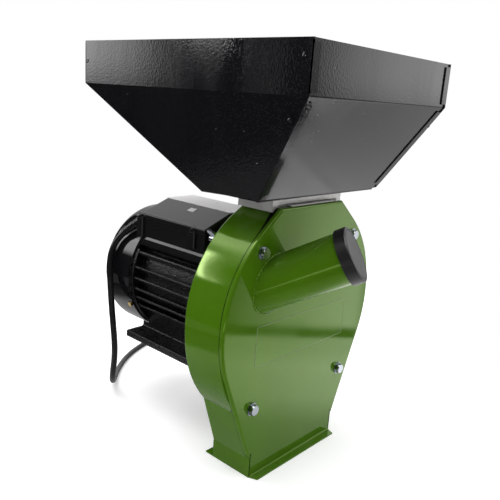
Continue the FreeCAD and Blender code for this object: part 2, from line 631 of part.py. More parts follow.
def rear_shield():
    y0, y1 = BARREL_BACK, BARREL_BACK + 7
    lip = ring(FAN_COVER_R - FAN_COVER_T, 63, FAN_COVER_FRONT, FAN_SCREW_Y + 4)
    shield = fuse([rod(SHIELD_R, y0, y1), lip, rod(BARREL_BORE, y0 - 4, y1),
                   rod(HOUSING_R, BEARINGS[1] - 1, y1)])
    shield = shield.cut(ring(RIB_R, HOUSING_R, 150, y1 - 4))
    seat = box(-BOSS_REACH - 0.5, BOSS_REACH + 0.5, y0 - 0.1, BOX_BACK + 1.1, BOX_BOTTOM - 0.4, 80)
    shield = shield.cut(seat.cut(rod(BARREL_R - 0.2, 0, 300)))
    return shield.cut(rod(BEARING_R, 150, BEARINGS[1] + BEARING_W)).cut(rod(SHAFT_R + 1.0, 150, 220))


def flange_screws():
    y = CHAMBER_BACK - SHEET
    screws = []
    for x, z in flange_places():
        head = rod(5.0, y - 4.0, y, x, z).cut(hexagon(4.0, y - 5.0, y - 1.5, x, z))
        screws.append(fuse([head, rod(BOLT_R + 0.05, y, 57.5, x, z)]))
    return screws



def stator_core():
    core = ring(BARREL_BORE, STATOR_BORE, CORE_FRONT, CORE_BACK)
    slots = []
    for i in range(STATOR_SLOTS):
        slot = box(SLOT_FLOOR, SLOT_TOP, CORE_FRONT - 1, CORE_BACK + 1, -SLOT_HALF, SLOT_HALF)
        slot.rotate(Vector(0, 0, 0), AXIS_Y, 360 / STATOR_SLOTS * i)
        slots.append(slot)
    return core.cut(Part.makeCompound(slots))


def stator_windings():
    coils = []
    for y0, y1 in ((CORE_FRONT - WINDING_REACH, CORE_FRONT), (CORE_BACK, CORE_BACK + WINDING_REACH)):
        coil = ring(WINDING_R, WINDING_BORE, y0, y1)
        round_edges = [e for e in coil.Edges if e.BoundBox.YLength < 1e-6]
        coils.append(coil.makeFillet(5.0, round_edges[:1] + round_edges[1:2]))
    return coils


def rotor_core():
    core = fuse([rod(ROTOR_R, CORE_FRONT, CORE_BACK),
                 rod(CAGE_R, CORE_FRONT - CAGE_REACH, CORE_BACK + CAGE_REACH)])
    return core.cut(rod(SHAFT_R + 1.0, 0, 300))


def motor_shaft():
    """Stepped: thread and nose for the mill's rotor, bearing seats, core seat, seat for the fan."""
    nose_end = BEARINGS[0] - 2
    return fuse([rod(THREAD_R, SHAFT_TIP, DISC_FRONT), rod(NOSE_R, DISC_FRONT, nose_end),
                 rod(SHAFT_R, nose_end, 196), rod(SHAFT_R + 1.0, 72, 176), rod(NOSE_R, 196, SHAFT_BACK)])


def ball_groove(y):
    return Part.makeTorus(BALL_CIRCLE, GROOVE_R, Vector(0, y + BEARING_W / 2, 0), AXIS_Y)


def bearing_outer_rings():
    return [ring(BEARING_R, OUTER_RACE, y, y + BEARING_W).cut(ball_groove(y)) for y in BEARINGS]


def bearing_inner_rings():
    return [ring(INNER_RACE, SHAFT_R, y, y + BEARING_W).cut(ball_groove(y)) for y in BEARINGS]


def bearing_balls():
    angles = [2 * math.pi * i / BALLS for i in range(BALLS)]
    return [Part.makeSphere(BALL_R, Vector(BALL_CIRCLE * math.cos(a), y + BEARING_W / 2,
                                           BALL_CIRCLE * math.sin(a)))
            for y in BEARINGS for a in angles]


def cooling_fan():
    y0, y1 = SHAFT_BACK - FAN_DEPTH, SHAFT_BACK
    hub = ring(FAN_HUB_R, NOSE_R, y0, y1)
    disc = ring(FAN_R, NOSE_R, y0, y0 + 2)
    blades = []
    for i in range(FAN_BLADES):
        blade = box(FAN_HUB_R - 2, FAN_R, y0 + 1, y1 - 2, -1.0, 1.0)
        blade.rotate(Vector(0, 0, 0), AXIS_Y, 360 / FAN_BLADES * i)
        blades.append(blade)
    return fuse([hub, disc] + blades)


def rounded_drum(radius, y0, y1, corner):
    """Cylinder along y with its rear edge rounded."""
    drum = rod(radius, y0, y1)
    return drum.makeFillet(corner, edges_where(drum, lambda b: b.YLength < 1e-6 and b.YMin > y1 - 1))


def fan_cover():
    """Pressed cover with a rounded rear edge and rings of slots for the air."""
    shell = rounded_drum(FAN_COVER_R, FAN_COVER_FRONT, FAN_COVER_BACK, FAN_COVER_CORNER)
    core = rounded_drum(FAN_COVER_R - FAN_COVER_T, FAN_COVER_FRONT - 1, FAN_COVER_BACK - FAN_COVER_T,
                        FAN_COVER_CORNER - FAN_COVER_T)
    shell = shell.cut(core)
    y0, y1, half = FAN_COVER_BACK - 6, FAN_COVER_BACK + 2, GRILLE_BAR / 2
    bars = fuse([box(-80, 80, y0, y1, -half, half), box(-half, half, y0, y1, -80, 80)])
    for inner in GRILLE_RINGS:
        shell = shell.cut(ring(inner + GRILLE_SLOT, inner, y0, y1).cut(bars))
    return shell


def fan_screw_axes():
    return [Vector(math.cos(math.radians(a)), 0, math.sin(math.radians(a))) for a in FAN_SCREW_DEG]


def fan_cover_screws():
    """Four brass screws through the cover's front edge into the shield's rim."""
    screws = []
    for out in fan_screw_axes():
        head = Part.makeCylinder(3.0, 1.8, out * FAN_COVER_R + at(0, FAN_SCREW_Y, 0), out)
        shank = Part.makeCylinder(FAN_SCREW_R, FAN_COVER_R - 64, out * 64 + at(0, FAN_SCREW_Y, 0), out)
        screws.append(fuse([head, shank]))
    return screws


def screw_sockets(shape):
    for out in fan_screw_axes():
        shape = shape.cut(Part.makeCylinder(FAN_SCREW_R, 20, out * 62 + at(0, FAN_SCREW_Y, 0), out))
    return shape


# Terminal box

def bosses(z1, z0=None):
    """The four corner posts up to z1, from their own lower ends or from z0."""
    posts = []
    for y, low in BOSSES:
        post = box(BOSS_INNER, BOSS_REACH, y - BOSS_HALF, y + BOSS_HALF, low if z0 is None else z0, z1)
        outer = edges_where(post, lambda b: b.XMin > BOSS_REACH - 1 and b.YLength < 1e-6)
        posts += both_sides(post.makeFillet(2.5, outer))
    return posts


def screw_places():
    middle = (BOSS_INNER + BOSS_REACH) / 2
    return [(sx * middle, y) for sx in (-1, 1) for y, _ in BOSSES]


def drilled(shape, radius, z0, z1):
    for x, y in screw_places():
        shape = shape.cut(Part.makeCylinder(radius, z1 - z0, Vector(x, y, z0)))
    return shape


def terminal_box():
    outline = [(BOX_HALF, BOX_PARTING), (BOX_HALF, BOX_FLARE_Z + 2.5), (BOX_FOOT, BOX_FLARE_Z),
               (BOX_FOOT, BOX_FOOT_Z), (BOX_FOOT - 8, BOX_BOTTOM)]
    outline += [(-x, z) for x, z in reversed(outline)]
    body = prism_xz(outline, BOX_FRONT, BOX_BACK)
    body = fuse([body] + bosses(BOX_PARTING))
    wall = BOX_WALL
    inside = box(-BOX_HALF + wall, BOX_HALF - wall, BOX_FRONT + wall, BOX_BACK - wall, BOX_FOOT_Z + 3, 80)
    body = body.cut(inside.cut(Part.makeCompound(bosses(90, 30))))
    body = body.cut(gland_stem())
    return drilled(body, LID_SCREW_R, BOX_PARTING - 14, 90).cut(rod(BARREL_R, 0, 300))


def lid_outline(inset):
    slope = inset * 0.4
    right = [(LID_HALF - inset, BOX_PARTING + GASKET_T), (LID_HALF - inset, LID_EAVE - slope),
             (LID_TOP_HALF - slope, LID_TOP - inset)]
    return right + [(-x, z) for x, z in reversed(right)]


def terminal_lid():
    lid = prism_xz(lid_outline(0), BOX_FRONT - 0.8, BOX_BACK + 0.8)
    lid = lid.makeFillet(1.4, edges_where(lid, lambda b: b.ZMin > LID_EAVE - 0.1))
    lid = fuse([lid] + bosses(BOSS_TOP, BOX_PARTING + GASKET_T))
    hollow = prism_xz(lid_outline(BOX_WALL), BOX_FRONT + BOX_WALL, BOX_BACK - BOX_WALL)
    lid = lid.cut(hollow.cut(Part.makeCompound(bosses(BOSS_TOP, 50))))
    return drilled(drilled(lid, LID_SCREW_R, 50, 90), 2.9, BOSS_TOP - 0.1, 90)


def lid_gasket():
    z0, z1 = BOX_PARTING, BOX_PARTING + GASKET_T
    frame = fuse([box(-BOX_HALF, BOX_HALF, BOX_FRONT, BOX_BACK, z0, z1)] + bosses(z1, z0))
    hole = box(-BOX_HALF + 3.5, BOX_HALF - 3.5, BOX_FRONT + 3.5, BOX_BACK - 3.5, z0 - 1, z1 + 1)
    frame = frame.cut(hole.cut(Part.makeCompound(bosses(z1 + 2, z0 - 2))))
    return drilled(frame, LID_SCREW_R, z0 - 1, z1 + 1)


def lid_screws():
    return [pan_screw(x, y, BOSS_TOP - 0.1, 2.6, 1.8, LID_SCREW_R, 14.0) for x, y in screw_places()]


def capacitor():
    body = rod(CAPACITOR_R, 98, 178, CAPACITOR_X, CAPACITOR_Z)
    return body.makeFillet(1.5, edges_where(body, lambda b: b.YLength < 1e-6))


def terminal_block():
    studs = [Part.makeCylinder(STUD_R, 6, Vector(x, y, BLOCK[5] - 0.5)) for x in STUD_XS for y in STUD_YS]
    return fuse([box(*BLOCK)] + studs)


def gland_axis():
    """Where the cord leaves its sleeve, and the sleeve's direction."""
    end, after = (Vector(*p) - ORIGIN_SHIFT for p in CORD_ROUTE[:2])
    return end, (after - end).normalize()


def gland_stem():
    end, along = gland_axis()
    neck = end - along * GLAND_SLEEVE
    return rod(GLAND_R - 0.7, BOX_BACK - BOX_WALL - 3, BOX_BACK, neck.x, neck.z)


def cable_gland():
    end, along = gland_axis()
    neck = end - along * GLAND_SLEEVE
    nut = rod(GLAND_R, BOX_BACK, neck.y, neck.x, neck.z)
    sleeve = Part.makeCone(GLAND_R, CORD_R + 0.7, GLAND_SLEEVE, neck, along)
    return fuse([gland_stem(), nut, Part.makeSphere(GLAND_R, neck), sleeve])


# Rotor of the mill

def pin_places():
    return [(PIN_OFFSET, PIN_OFFSET), (-PIN_OFFSET, PIN_OFFSET), (-PIN_OFFSET, -PIN_OFFSET),
            (PIN_OFFSET, -PIN_OFFSET)]


def rotor_discs():
    discs = []
    for y0 in (DISC_FRONT, DISC_BACK):
        disc = ring(DISC_R, NOSE_R, y0, y0 + DISC_T)
        for x, z in pin_places():
            disc = disc.cut(rod(PIN_R, y0 - 1, y0 + DISC_T + 1, x, z))
        discs.append(disc)
    return discs


def rotor_hub():
    return ring(HUB_R, NOSE_R, DISC_FRONT + DISC_T, DISC_BACK)


def rotor_nut():
    washer = ring(11.5, THREAD_R, NUT_BACK, DISC_FRONT)
    return fuse([hexagon(NUT_FLATS, NUT_FRONT, NUT_BACK, 0, 0), washer]).cut(rod(THREAD_R, 0, 20))


def hammer_pins():
    pins = []
    for x, z in pin_places():
        head = rod(5.6, DISC_FRONT - 2, DISC_FRONT, x, z)
        pins.append(fuse([head, rod(PIN_R, DISC_FRONT, DISC_BACK + DISC_T + 1.2, x, z)]))
    return pins


def hammer_spacers():
    """Tubes on the pins that keep each hammer in its own slot."""
    spacers = []
    for i, (x, z) in enumerate(pin_places()):
        start = DISC_FRONT + DISC_T
        for slot in HAMMER_SLOTS[i % 2]:
            spacers.append(ring(SPACER_R, PIN_R, start, slot - HAMMER_PLAY, x, z))
            start = slot + HAMMER_T + HAMMER_PLAY
        spacers.append(ring(SPACER_R, PIN_R, start, DISC_BACK, x, z))
    return spacers


def hammer(x, z, y0):
    """A flat swinging beater that hangs straight down from its pin."""
    half = HAMMER_W / 2
    top = z + half
    bar = box(x - half, x + half, y0, y0 + HAMMER_T, z - HAMMER_REACH, top)
    bar = bar.makeFillet(half - 0.5, edges_where(bar, lambda b: b.YLength > 1 and b.ZMin > top - 1e-6))
    return bar.cut(rod(HAMMER_BORE_R, y0 - 1, y0 + HAMMER_T + 1, x, z))


# Mains cord

def cord_tube(route, radius):
    """Straight runs joined by tangent arcs, as large as the runs beside each point allow."""
    points = [Vector(*p) for p in route]
    edges, here, tightest = [], points[0], 1e9
    for before, corner, after in zip(points, points[1:], points[2:]):
        back, ahead = before - corner, after - corner
        run = min(back.Length, ahead.Length)
        turn = math.pi - back.getAngle(ahead)
        cut = 0.45 * run
        bend = cut / math.tan(turn / 2)
        tightest = min(tightest, bend)
        start = corner + Vector(back).normalize() * cut
        end = corner + Vector(ahead).normalize() * cut
        centre_line = (Vector(back).normalize() + Vector(ahead).normalize()).normalize()
        reach = math.hypot(bend, cut) - bend
        edges.append(Part.makeLine(here, start))
        edges.append(Part.Arc(start, corner + centre_line * reach, end).toShape())
        print("  cord bend radius %.0f, turn %.0f, runs %.0f %.0f"
              % (bend, math.degrees(turn), back.Length, ahead.Length))
        here = end
    edges.append(Part.makeLine(here, points[-1]))
    path = Part.Wire(edges)
    first = points[1] - points[0]
    section = Part.Wire(Part.makeCircle(radius, points[0], first))
    tube = path.makePipeShell([section], True, True)
    print("  cord length %.0f, tightest radius %.0f, volume ratio %.3f"
          % (path.Length, tightest, tube.Volume / (math.pi * radius ** 2 * path.Length)))
    return tube


def cord_coil():
    """The outer shape of the coiled length: a flat ring lying on the floor."""
    floor = Vector(*COIL_CENTRE, FLOOR_Z)
    disc = Part.makeCylinder(COIL_R + COIL_WALL, COIL_HEIGHT, floor)
    return disc.cut(Part.makeCylinder(COIL_R - COIL_WALL, COIL_HEIGHT, floor))


def plug_body():
    """Round two-pin plug lying on the floor, with its bend sleeve towards the cord."""
    start, forward = Vector(*TAIL_ROUTE[-1]), Vector(0, -1, 0)
    waist, shoulder = start + forward * PLUG_SLEEVE, start + forward * (PLUG_SLEEVE + PLUG_GRIP)
    sleeve = Part.makeCone(CORD_R + 0.6, CORD_R + 3.0, PLUG_SLEEVE, start, forward)
    grip = Part.makeCone(PLUG_WAIST, PLUG_R - 2.5, PLUG_GRIP, waist, forward)
    face = Part.makeCylinder(PLUG_R, PLUG_BODY - PLUG_GRIP, shoulder, forward)
    rim = edges_where(face, lambda b: b.YLength < 1e-6)
    return fuse([sleeve, grip, face.makeFillet(2.0, rim)])


def plug_pins():
    face = Vector(*TAIL_ROUTE[-1]) - AXIS_Y * (PLUG_SLEEVE + PLUG_BODY)
    pins = [Part.makeCylinder(PLUG_PIN_R, PLUG_PIN, face + Vector(dx, 0, 0), -AXIS_Y)
            for dx in (-PIN_HALF_SPACING, PIN_HALF_SPACING)]
    return [pin.makeFillet(1.6, edges_where(pin, lambda b: b.YLength < 1e-6 and b.YMax < face.y - 10))
            for pin in pins]


def main():
    os.makedirs("parts", exist_ok=True)

    save("chamber_drum", chamber_drum())
    save("chute_front", chute_front())
    save("front_cover", front_cover())
    save("feed_tube", feed_tube())
    save("tube_cap", tube_cap())
    save("cover_bolts", cover_bolts())
    save("cover_washers", cover_washers())
    save("wing_nuts", wing_nuts())
    save("cover_spacers", cover_spacers())
    save("screen", screen())
    save("screen_rests", screen_rests())

    save("gate_guide", gate_guide())
    save("slide_gate", slide_gate())
    save("guide_screws", guide_screws())

    side = hopper_side()
    save("hopper_right", side)
    save("hopper_left", [mirrored(piece) for piece in side])
    save("hopper_front", hopper_end(True))
    save("hopper_rear", hopper_end(False))
    save("hopper_base", hopper_base())
    save("hopper_screws", hopper_screws())

    save("motor_frame", motor_frame())
    save("motor_feet", motor_feet())
    save("front_shield", front_shield())
    save("rear_shield", screw_sockets(rear_shield()))
    save("flange_screws", flange_screws())
    save("stator_core", stator_core())
    save("stator_windings", stator_windings())
    save("rotor_core", rotor_core())
    save("motor_shaft", motor_shaft())
    save("bearing_outer_rings", bearing_outer_rings())
    save("bearing_inner_rings", bearing_inner_rings())
    save("bearing_balls", bearing_balls())
    save("cooling_fan", cooling_fan())
    save("fan_cover", screw_sockets(fan_cover()))
    save("fan_cover_screws", fan_cover_screws())

    save("terminal_box", terminal_box())
    save("terminal_lid", terminal_lid())
    save("lid_gasket", lid_gasket())
    save("lid_screws", lid_screws())
    save("capacitor", capacitor())
    save("terminal_block", terminal_block())
    save("cable_gland", cable_gland())

    save("rotor_discs", rotor_discs())
    save("rotor_hub", rotor_hub())
    save("rotor_nut", rotor_nut())
    save("hammer_pins", hammer_pins())
    save("hammer_spacers", hammer_spacers())
    number = 1
    for i, (x, z) in enumerate(pin_places()):
        for slot in HAMMER_SLOTS[i % 2]:
            save("hammer_%d" % number, hammer(x, z, slot))
            number += 1

    save("mains_cord", cord_tube(CORD_ROUTE, CORD_R), moved=False)
    save("cord_coil", cord_coil(), moved=False)
    save("cord_tail", cord_tube(TAIL_ROUTE, CORD_R), moved=False)
    save("plug_body", plug_body(), moved=False)
    save("plug_pins", plug_pins(), moved=False)


if __name__ == "__main__":
    main()
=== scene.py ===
"""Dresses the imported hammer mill: its finishes, its mains lead, its small fittings and a studio.

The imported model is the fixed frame. Every piece made here lies in that frame, in metres, and rides
on the mill's own body.
"""
import json
import math

import bmesh
import bpy
import numpy as np
from bpy.props import FloatProperty, FloatVectorProperty, PointerProperty
from mathutils import Matrix, Vector


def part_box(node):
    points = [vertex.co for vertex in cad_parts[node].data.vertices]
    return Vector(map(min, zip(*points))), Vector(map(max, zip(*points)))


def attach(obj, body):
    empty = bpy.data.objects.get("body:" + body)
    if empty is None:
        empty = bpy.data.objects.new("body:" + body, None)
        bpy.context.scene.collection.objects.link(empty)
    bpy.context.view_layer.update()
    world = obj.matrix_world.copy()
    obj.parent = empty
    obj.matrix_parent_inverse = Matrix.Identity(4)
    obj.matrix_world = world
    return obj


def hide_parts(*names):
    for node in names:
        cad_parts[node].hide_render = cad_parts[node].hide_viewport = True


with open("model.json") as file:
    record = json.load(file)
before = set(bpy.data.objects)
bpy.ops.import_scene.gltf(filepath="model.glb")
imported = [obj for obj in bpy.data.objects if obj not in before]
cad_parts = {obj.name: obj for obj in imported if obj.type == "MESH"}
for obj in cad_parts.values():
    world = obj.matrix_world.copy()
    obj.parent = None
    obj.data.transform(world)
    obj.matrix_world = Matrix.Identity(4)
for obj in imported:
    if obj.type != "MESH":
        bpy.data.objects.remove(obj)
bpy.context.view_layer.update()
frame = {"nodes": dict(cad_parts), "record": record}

bl_info = {
    "name": "Hammer mill",
    "version": (1, 0, 0),
    "blender": (4, 5, 0),
    "location": "3D View > Sidebar > Hammer mill",
    "description": "Finishes, mains lead, fittings and studio for the packed hammer mill",
    "category": "Object",
}

FLOOR_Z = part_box("chamber_drum")[0].z
COVER_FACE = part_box("front_cover")[0].y
SHAFT_Z = 0.071  # the shaft above the feet

# Route of the mains lead: out of the terminal box, down beside the fan cover and along the floor
LEAD_ROUTE = (
    (-0.0532, 0.0609, 0.1315),
    (-0.0626, 0.0762, 0.1194),
    (-0.0750, 0.0837, 0.0964),
    (-0.0810, 0.0747, 0.0678),
    (-0.0771, 0.0747, 0.0231),
    (-0.0777, 0.0665, -0.0197),
    (-0.0766, 0.0736, -0.0560),
    (-0.0580, 0.0980, -0.0790),
    (-0.0280, 0.1310, -0.0830),
    (0.0120, 0.1610, -0.0830),
    (0.0620, 0.1810, -0.0830),
    (0.1160, 0.1900, -0.0830),
)
COIL_CENTRE = (0.168, 0.146)
LEAD_TAIL = (
    (0.2122, 0.1340, -0.0755),
    (0.2110, 0.1190, -0.0730),
    (0.2070, 0.0980, -0.0680),
    (0.2070, 0.0860, -0.0680),
)
PLUG_END = LEAD_TAIL[2]

# The feed tube: where its axis passes the cover, its direction, and the radius of its weld
TUBE_ROOT = (-0.0539, -0.1420, 0.1118)
TUBE_AXIS = (0.377, -0.799, 0.469)
TUBE_WELD_RADIUS = 0.0241


# Sizes and colours that a user may change

def length_prop(name, description, default):
    return FloatProperty(name=name, description=description, default=default, unit="LENGTH",
                         precision=5)


def level_prop(name, description, default, **more):
    """A plain number from zero up."""
    return FloatProperty(name=name, description=description, default=default, min=0.0, **more)


def angle_prop(name, description, degrees):
    return FloatProperty(name=name, description=description, default=math.radians(degrees),
                         subtype="ANGLE")


def colour_prop(name, description, default):
    return FloatVectorProperty(name=name, description=description, default=default, size=3,
                               subtype="COLOR", min=0.0, max=1.0)


class MillLead(bpy.types.PropertyGroup):
    """Sizes of the mains lead, its coil and its sleeve."""
    diameter: length_prop("Lead diameter", "Outside diameter of the mains lead", 0.007)
    coil_outer: length_prop("Outer turn", "Radius of the coil's outer turns", 0.0445)
    coil_inner: length_prop("Inner turn", "Radius of the coil's inner turns", 0.0375)
    sleeve_length: length_prop("Sleeve length", "Length of the tapered sleeve at the box", 0.029)
    sleeve_wide: length_prop("Sleeve root", "Radius of the sleeve where it leaves the box", 0.0056)
    sleeve_narrow: length_prop("Sleeve tip", "Radius of the sleeve at its free end", 0.0041)


class MillFinish(bpy.types.PropertyGroup):
    """Colours and gloss of the mill's finishes."""
    green: colour_prop("Green enamel", "Colour of the chamber, cover, chute and feed tube",
                       (0.060, 0.156, 0.0046))
    green_gloss: colour_prop("Green gloss", "Tint of what the green enamel mirrors",
                             (0.72, 1.0, 0.32))
    black: colour_prop("Black enamel", "Colour of the hopper and the motor",
                       (0.0055, 0.0052, 0.0062))
    plastic: colour_prop("Black plastic", "Colour of the tube cap and the terminal box",
                         (0.012, 0.012, 0.013))
    zinc: colour_prop("Zinc", "Colour of the plated screws", (0.44, 0.47, 0.51))
    galvanised: colour_prop("Galvanised sheet", "Colour of the slide gate and its guide",
                            (0.86, 0.85, 0.83))
    steel: colour_prop("Bare steel", "Colour of machined steel", (0.42, 0.42, 0.43))
    label: colour_prop("Label", "Colour of the blank labels", (0.90, 0.88, 0.88))
    enamel_gloss: level_prop("Enamel roughness", "Roughness of the gloss enamel", 0.07, max=1.0)
    black_gloss: level_prop("Black roughness", "Roughness of the black gloss paint", 0.09, max=1.0)


class MillStage(bpy.types.PropertyGroup):
    """Camera, table and lamps."""
    eye: FloatVectorProperty(name="Eye", description="Place of the camera", size=3, unit="LENGTH",
                             default=(-0.470562, -0.478083, 0.275472), precision=5)
    heading: angle_prop("Heading", "Turn of the view from straight back", -48.59656)
    tilt: angle_prop("Tilt", "How far the view looks down", 13.99360)
    roll: angle_prop("Roll", "Turn of the picture", 4.03093)
    lens: level_prop("Lens", "Focal length in millimetres", 43.528)
    table_left: length_prop("Table left", "Width of the table left of the view axis", 0.43)
    table_right: length_prop("Table right", "Width of the table right of the view axis", 0.38)
    table_light: level_prop("Table light", "White that the table adds for the camera", 0.35)
    sky: level_prop("Sky", "Strength of the plain light from all round", 0.50)
    left_panel: level_prop("Left softbox", "Brightness of the softbox on the left", 1.0)
    right_panel: level_prop("Right softbox", "Brightness of the softbox on the right", 1.0)
    top_panel: level_prop("Top softbox", "Brightness of the softbox overhead", 4.0)
    rear_panel: level_prop("Rear softbox", "Brightness of the softbox behind on the left", 4.5)
    sheen: level_prop("Table sheen", "Brightness of the table as polished paint mirrors it", 1.0)


# Meshes from whole arrays

MERGE_DISTANCE = 1e-7
SHARP_ANGLE = math.radians(38)
PLATE_STEPS = 33


def grid_quads(rows, columns, wrap_rows=False, wrap_columns=False):
    """Corner numbers of a grid's quads, row after row, joined end to end if wrapped."""
    r, c = np.meshgrid(np.arange(rows if wrap_rows else rows - 1),
                       np.arange(columns if wrap_columns else columns - 1), indexing="ij")
    below, beside = (r + 1) % rows, (c + 1) % columns
    corners = [r * columns + c, below * columns + c, below * columns + beside, r * columns + beside]
    return np.stack(corners, -1).reshape(-1, 4)


def mesh_piece(name, patches, slot, finish=None):
    """One piece of the mill's body from a list of (points, quads), with doubles merged and faces
    pointing outwards. slot is the record's finish for it, finish its look here if another."""
    counts = np.cumsum([0] + [len(points) for points, _ in patches])
    points = np.concatenate([points for points, _ in patches])
    quads = np.concatenate([quads + start for (_, quads), start in zip(patches, counts)])
    mesh = bpy.data.meshes.new(name)
    mesh.from_pydata(points.tolist(), [], quads.tolist())
    work = bmesh.new()
    work.from_mesh(mesh)
    bmesh.ops.remove_doubles(work, verts=work.verts, dist=MERGE_DISTANCE)
    bmesh.ops.dissolve_degenerate(work, edges=work.edges, dist=1e-8)
    bmesh.ops.recalc_face_normals(work, faces=work.faces)
    work.to_mesh(mesh)
    work.free()
    mesh.shade_smooth()
    mesh.set_sharp_from_angle(angle=SHARP_ANGLE)
    mesh.materials.append(MATERIALS[finish or slot])
    piece = bpy.data.objects.new(name, mesh)
    bpy.context.scene.collection.objects.link(piece)
    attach(piece, "mill")
    return piece


def unit(vectors):
    """Each vector divided by its length."""
    return vectors / np.linalg.norm(vectors, axis=-1, keepdims=True)


def full_turn(steps):
    """Angles evenly spaced round a circle."""
    return np.arange(steps) * 2 * np.pi / steps


def points_at(x, y, z):
    """Points from three coordinates, each of them an array or one number for all."""
    return np.stack(np.broadcast_arrays(x, y, z), -1)


def cross_axes(axis):
    """Two unit directions square to an axis and to each other."""
    axis = unit(np.asarray(axis, float))
    side = unit(np.cross(axis, (0.0, 0.0, 1.0) if abs(axis[2]) < 0.9 else (1.0, 0.0, 0.0)))
    return axis, side, np.cross(axis, side)


def turned(origin, axis, along, radius, steps=64):
    """A turned surface: at each place along the axis, a circle of that radius. The radius is one
    number for each place, or one for each place and angle. Ends of radius zero close it."""
    axis, side, over = cross_axes(axis)
    angle = full_turn(steps)
    around = np.outer(np.cos(angle), side) + np.outer(np.sin(angle), over)
    radius = np.asarray(radius, float)
    radius = radius[:, None] if radius.ndim == 1 else radius
    points = (np.asarray(origin, float) + np.asarray(along, float)[:, None, None] * axis
              + radius[..., None] * around)
    return points.reshape(-1, 3), grid_quads(len(along), steps, wrap_columns=True)


def tube_patch(path, radius, normal, steps=20, closed=False):
    """A round tube: at each point of a path, a circle of that point's radius, square to the path and
    counted from the side that the normal gives. Open ends shrink to a point."""
    angle = full_turn(steps)
    path = np.asarray(path, float)
    radius = np.broadcast_to(np.asarray(radius, float), len(path))
    if closed:
        along = unit(np.roll(path, -1, axis=0) - np.roll(path, 1, axis=0))
    else:
        along = unit(np.gradient(path, axis=0))
        along = np.concatenate([along[:1], along, along[-1:]])
        path = np.concatenate([path[:1], path, path[-1:]])
        radius = np.concatenate([[0.0], radius, [0.0]])
    side = unit(np.cross(along, np.broadcast_to(np.asarray(normal, float), path.shape)))
    up = np.cross(side, along)
    around = (np.cos(angle)[None, :, None] * side[:, None]
              + np.sin(angle)[None, :, None] * up[:, None])
    points = path[:, None] + radius[:, None, None] * around
    return points.reshape(-1, 3), grid_quads(len(path), steps, wrap_rows=closed, wrap_columns=True)


def plate_patch(centre, across, along, half_across, half_along, thickness, corner, bow=None):
    """A thin plate on the plane through centre: a rectangle whose square corners are pulled in to
    quarter circles, with a wall between underside and top. bow(u, v) lifts it, u and v from -1 to 1."""
    across, along = unit(np.asarray(across, float)), unit(np.asarray(along, float))
    up = np.cross(across, along)
    spread = np.linspace(-1, 1, PLATE_STEPS)
    v, u = np.meshgrid(spread, spread, indexing="ij")
    x, y = u * half_across, v * half_along
    over_x, over_y = np.abs(x) - (half_across - corner), np.abs(y) - (half_along - corner)
    in_corner = (over_x > 0) & (over_y > 0)
    pull = np.maximum(over_x, over_y) / np.maximum(np.hypot(over_x, over_y), 1e-9)
    x = np.where(in_corner, np.sign(x) * (half_across - corner + over_x * pull), x)
    y = np.where(in_corner, np.sign(y) * (half_along - corner + over_y * pull), y)
    lift = np.zeros_like(x) if bow is None else bow(u, v)
    flat = np.asarray(centre, float) + x[..., None] * across + y[..., None] * along
    low, high = ((flat + (lift + height)[..., None] * up).reshape(-1, 3)
                 for height in (0.0, thickness))
    quads = grid_quads(PLATE_STEPS, PLATE_STEPS)
    index = np.arange(PLATE_STEPS ** 2).reshape(PLATE_STEPS, PLATE_STEPS)
    edge = np.concatenate([index[0, :-1], index[:-1, -1], index[-1, :0:-1], index[:0:-1, 0]])
    after = np.roll(edge, -1)
    wall = np.stack([edge, after, after + len(low), edge + len(low)], -1)
    return np.concatenate([low, high]), np.concatenate([quads, quads + len(low), wall])


def edge_strip(line, inward, profile):
    """A closed strip along an outline in a plane square to the shaft, given about it. Each (inset,
    place) of the profile is a corner: that far inwards from the line, at that place on the shaft."""
    corners = []
    for inset, place in profile:
        flat = line + inset * inward
        corners.append(points_at(flat[:, 0], place, flat[:, 1] + SHAFT_Z))
    count = len(corners)
    cap = np.array([[0, k, k + 1, k + 2] for k in range(1, count - 2, 2)])
    quads = grid_quads(len(line), count, wrap_columns=True)
    return (np.stack(corners, 1).reshape(-1, 3),
            np.concatenate([quads, cap, cap + (len(line) - 1) * count]))


# Shader groups, each built once

GROUPS = {}


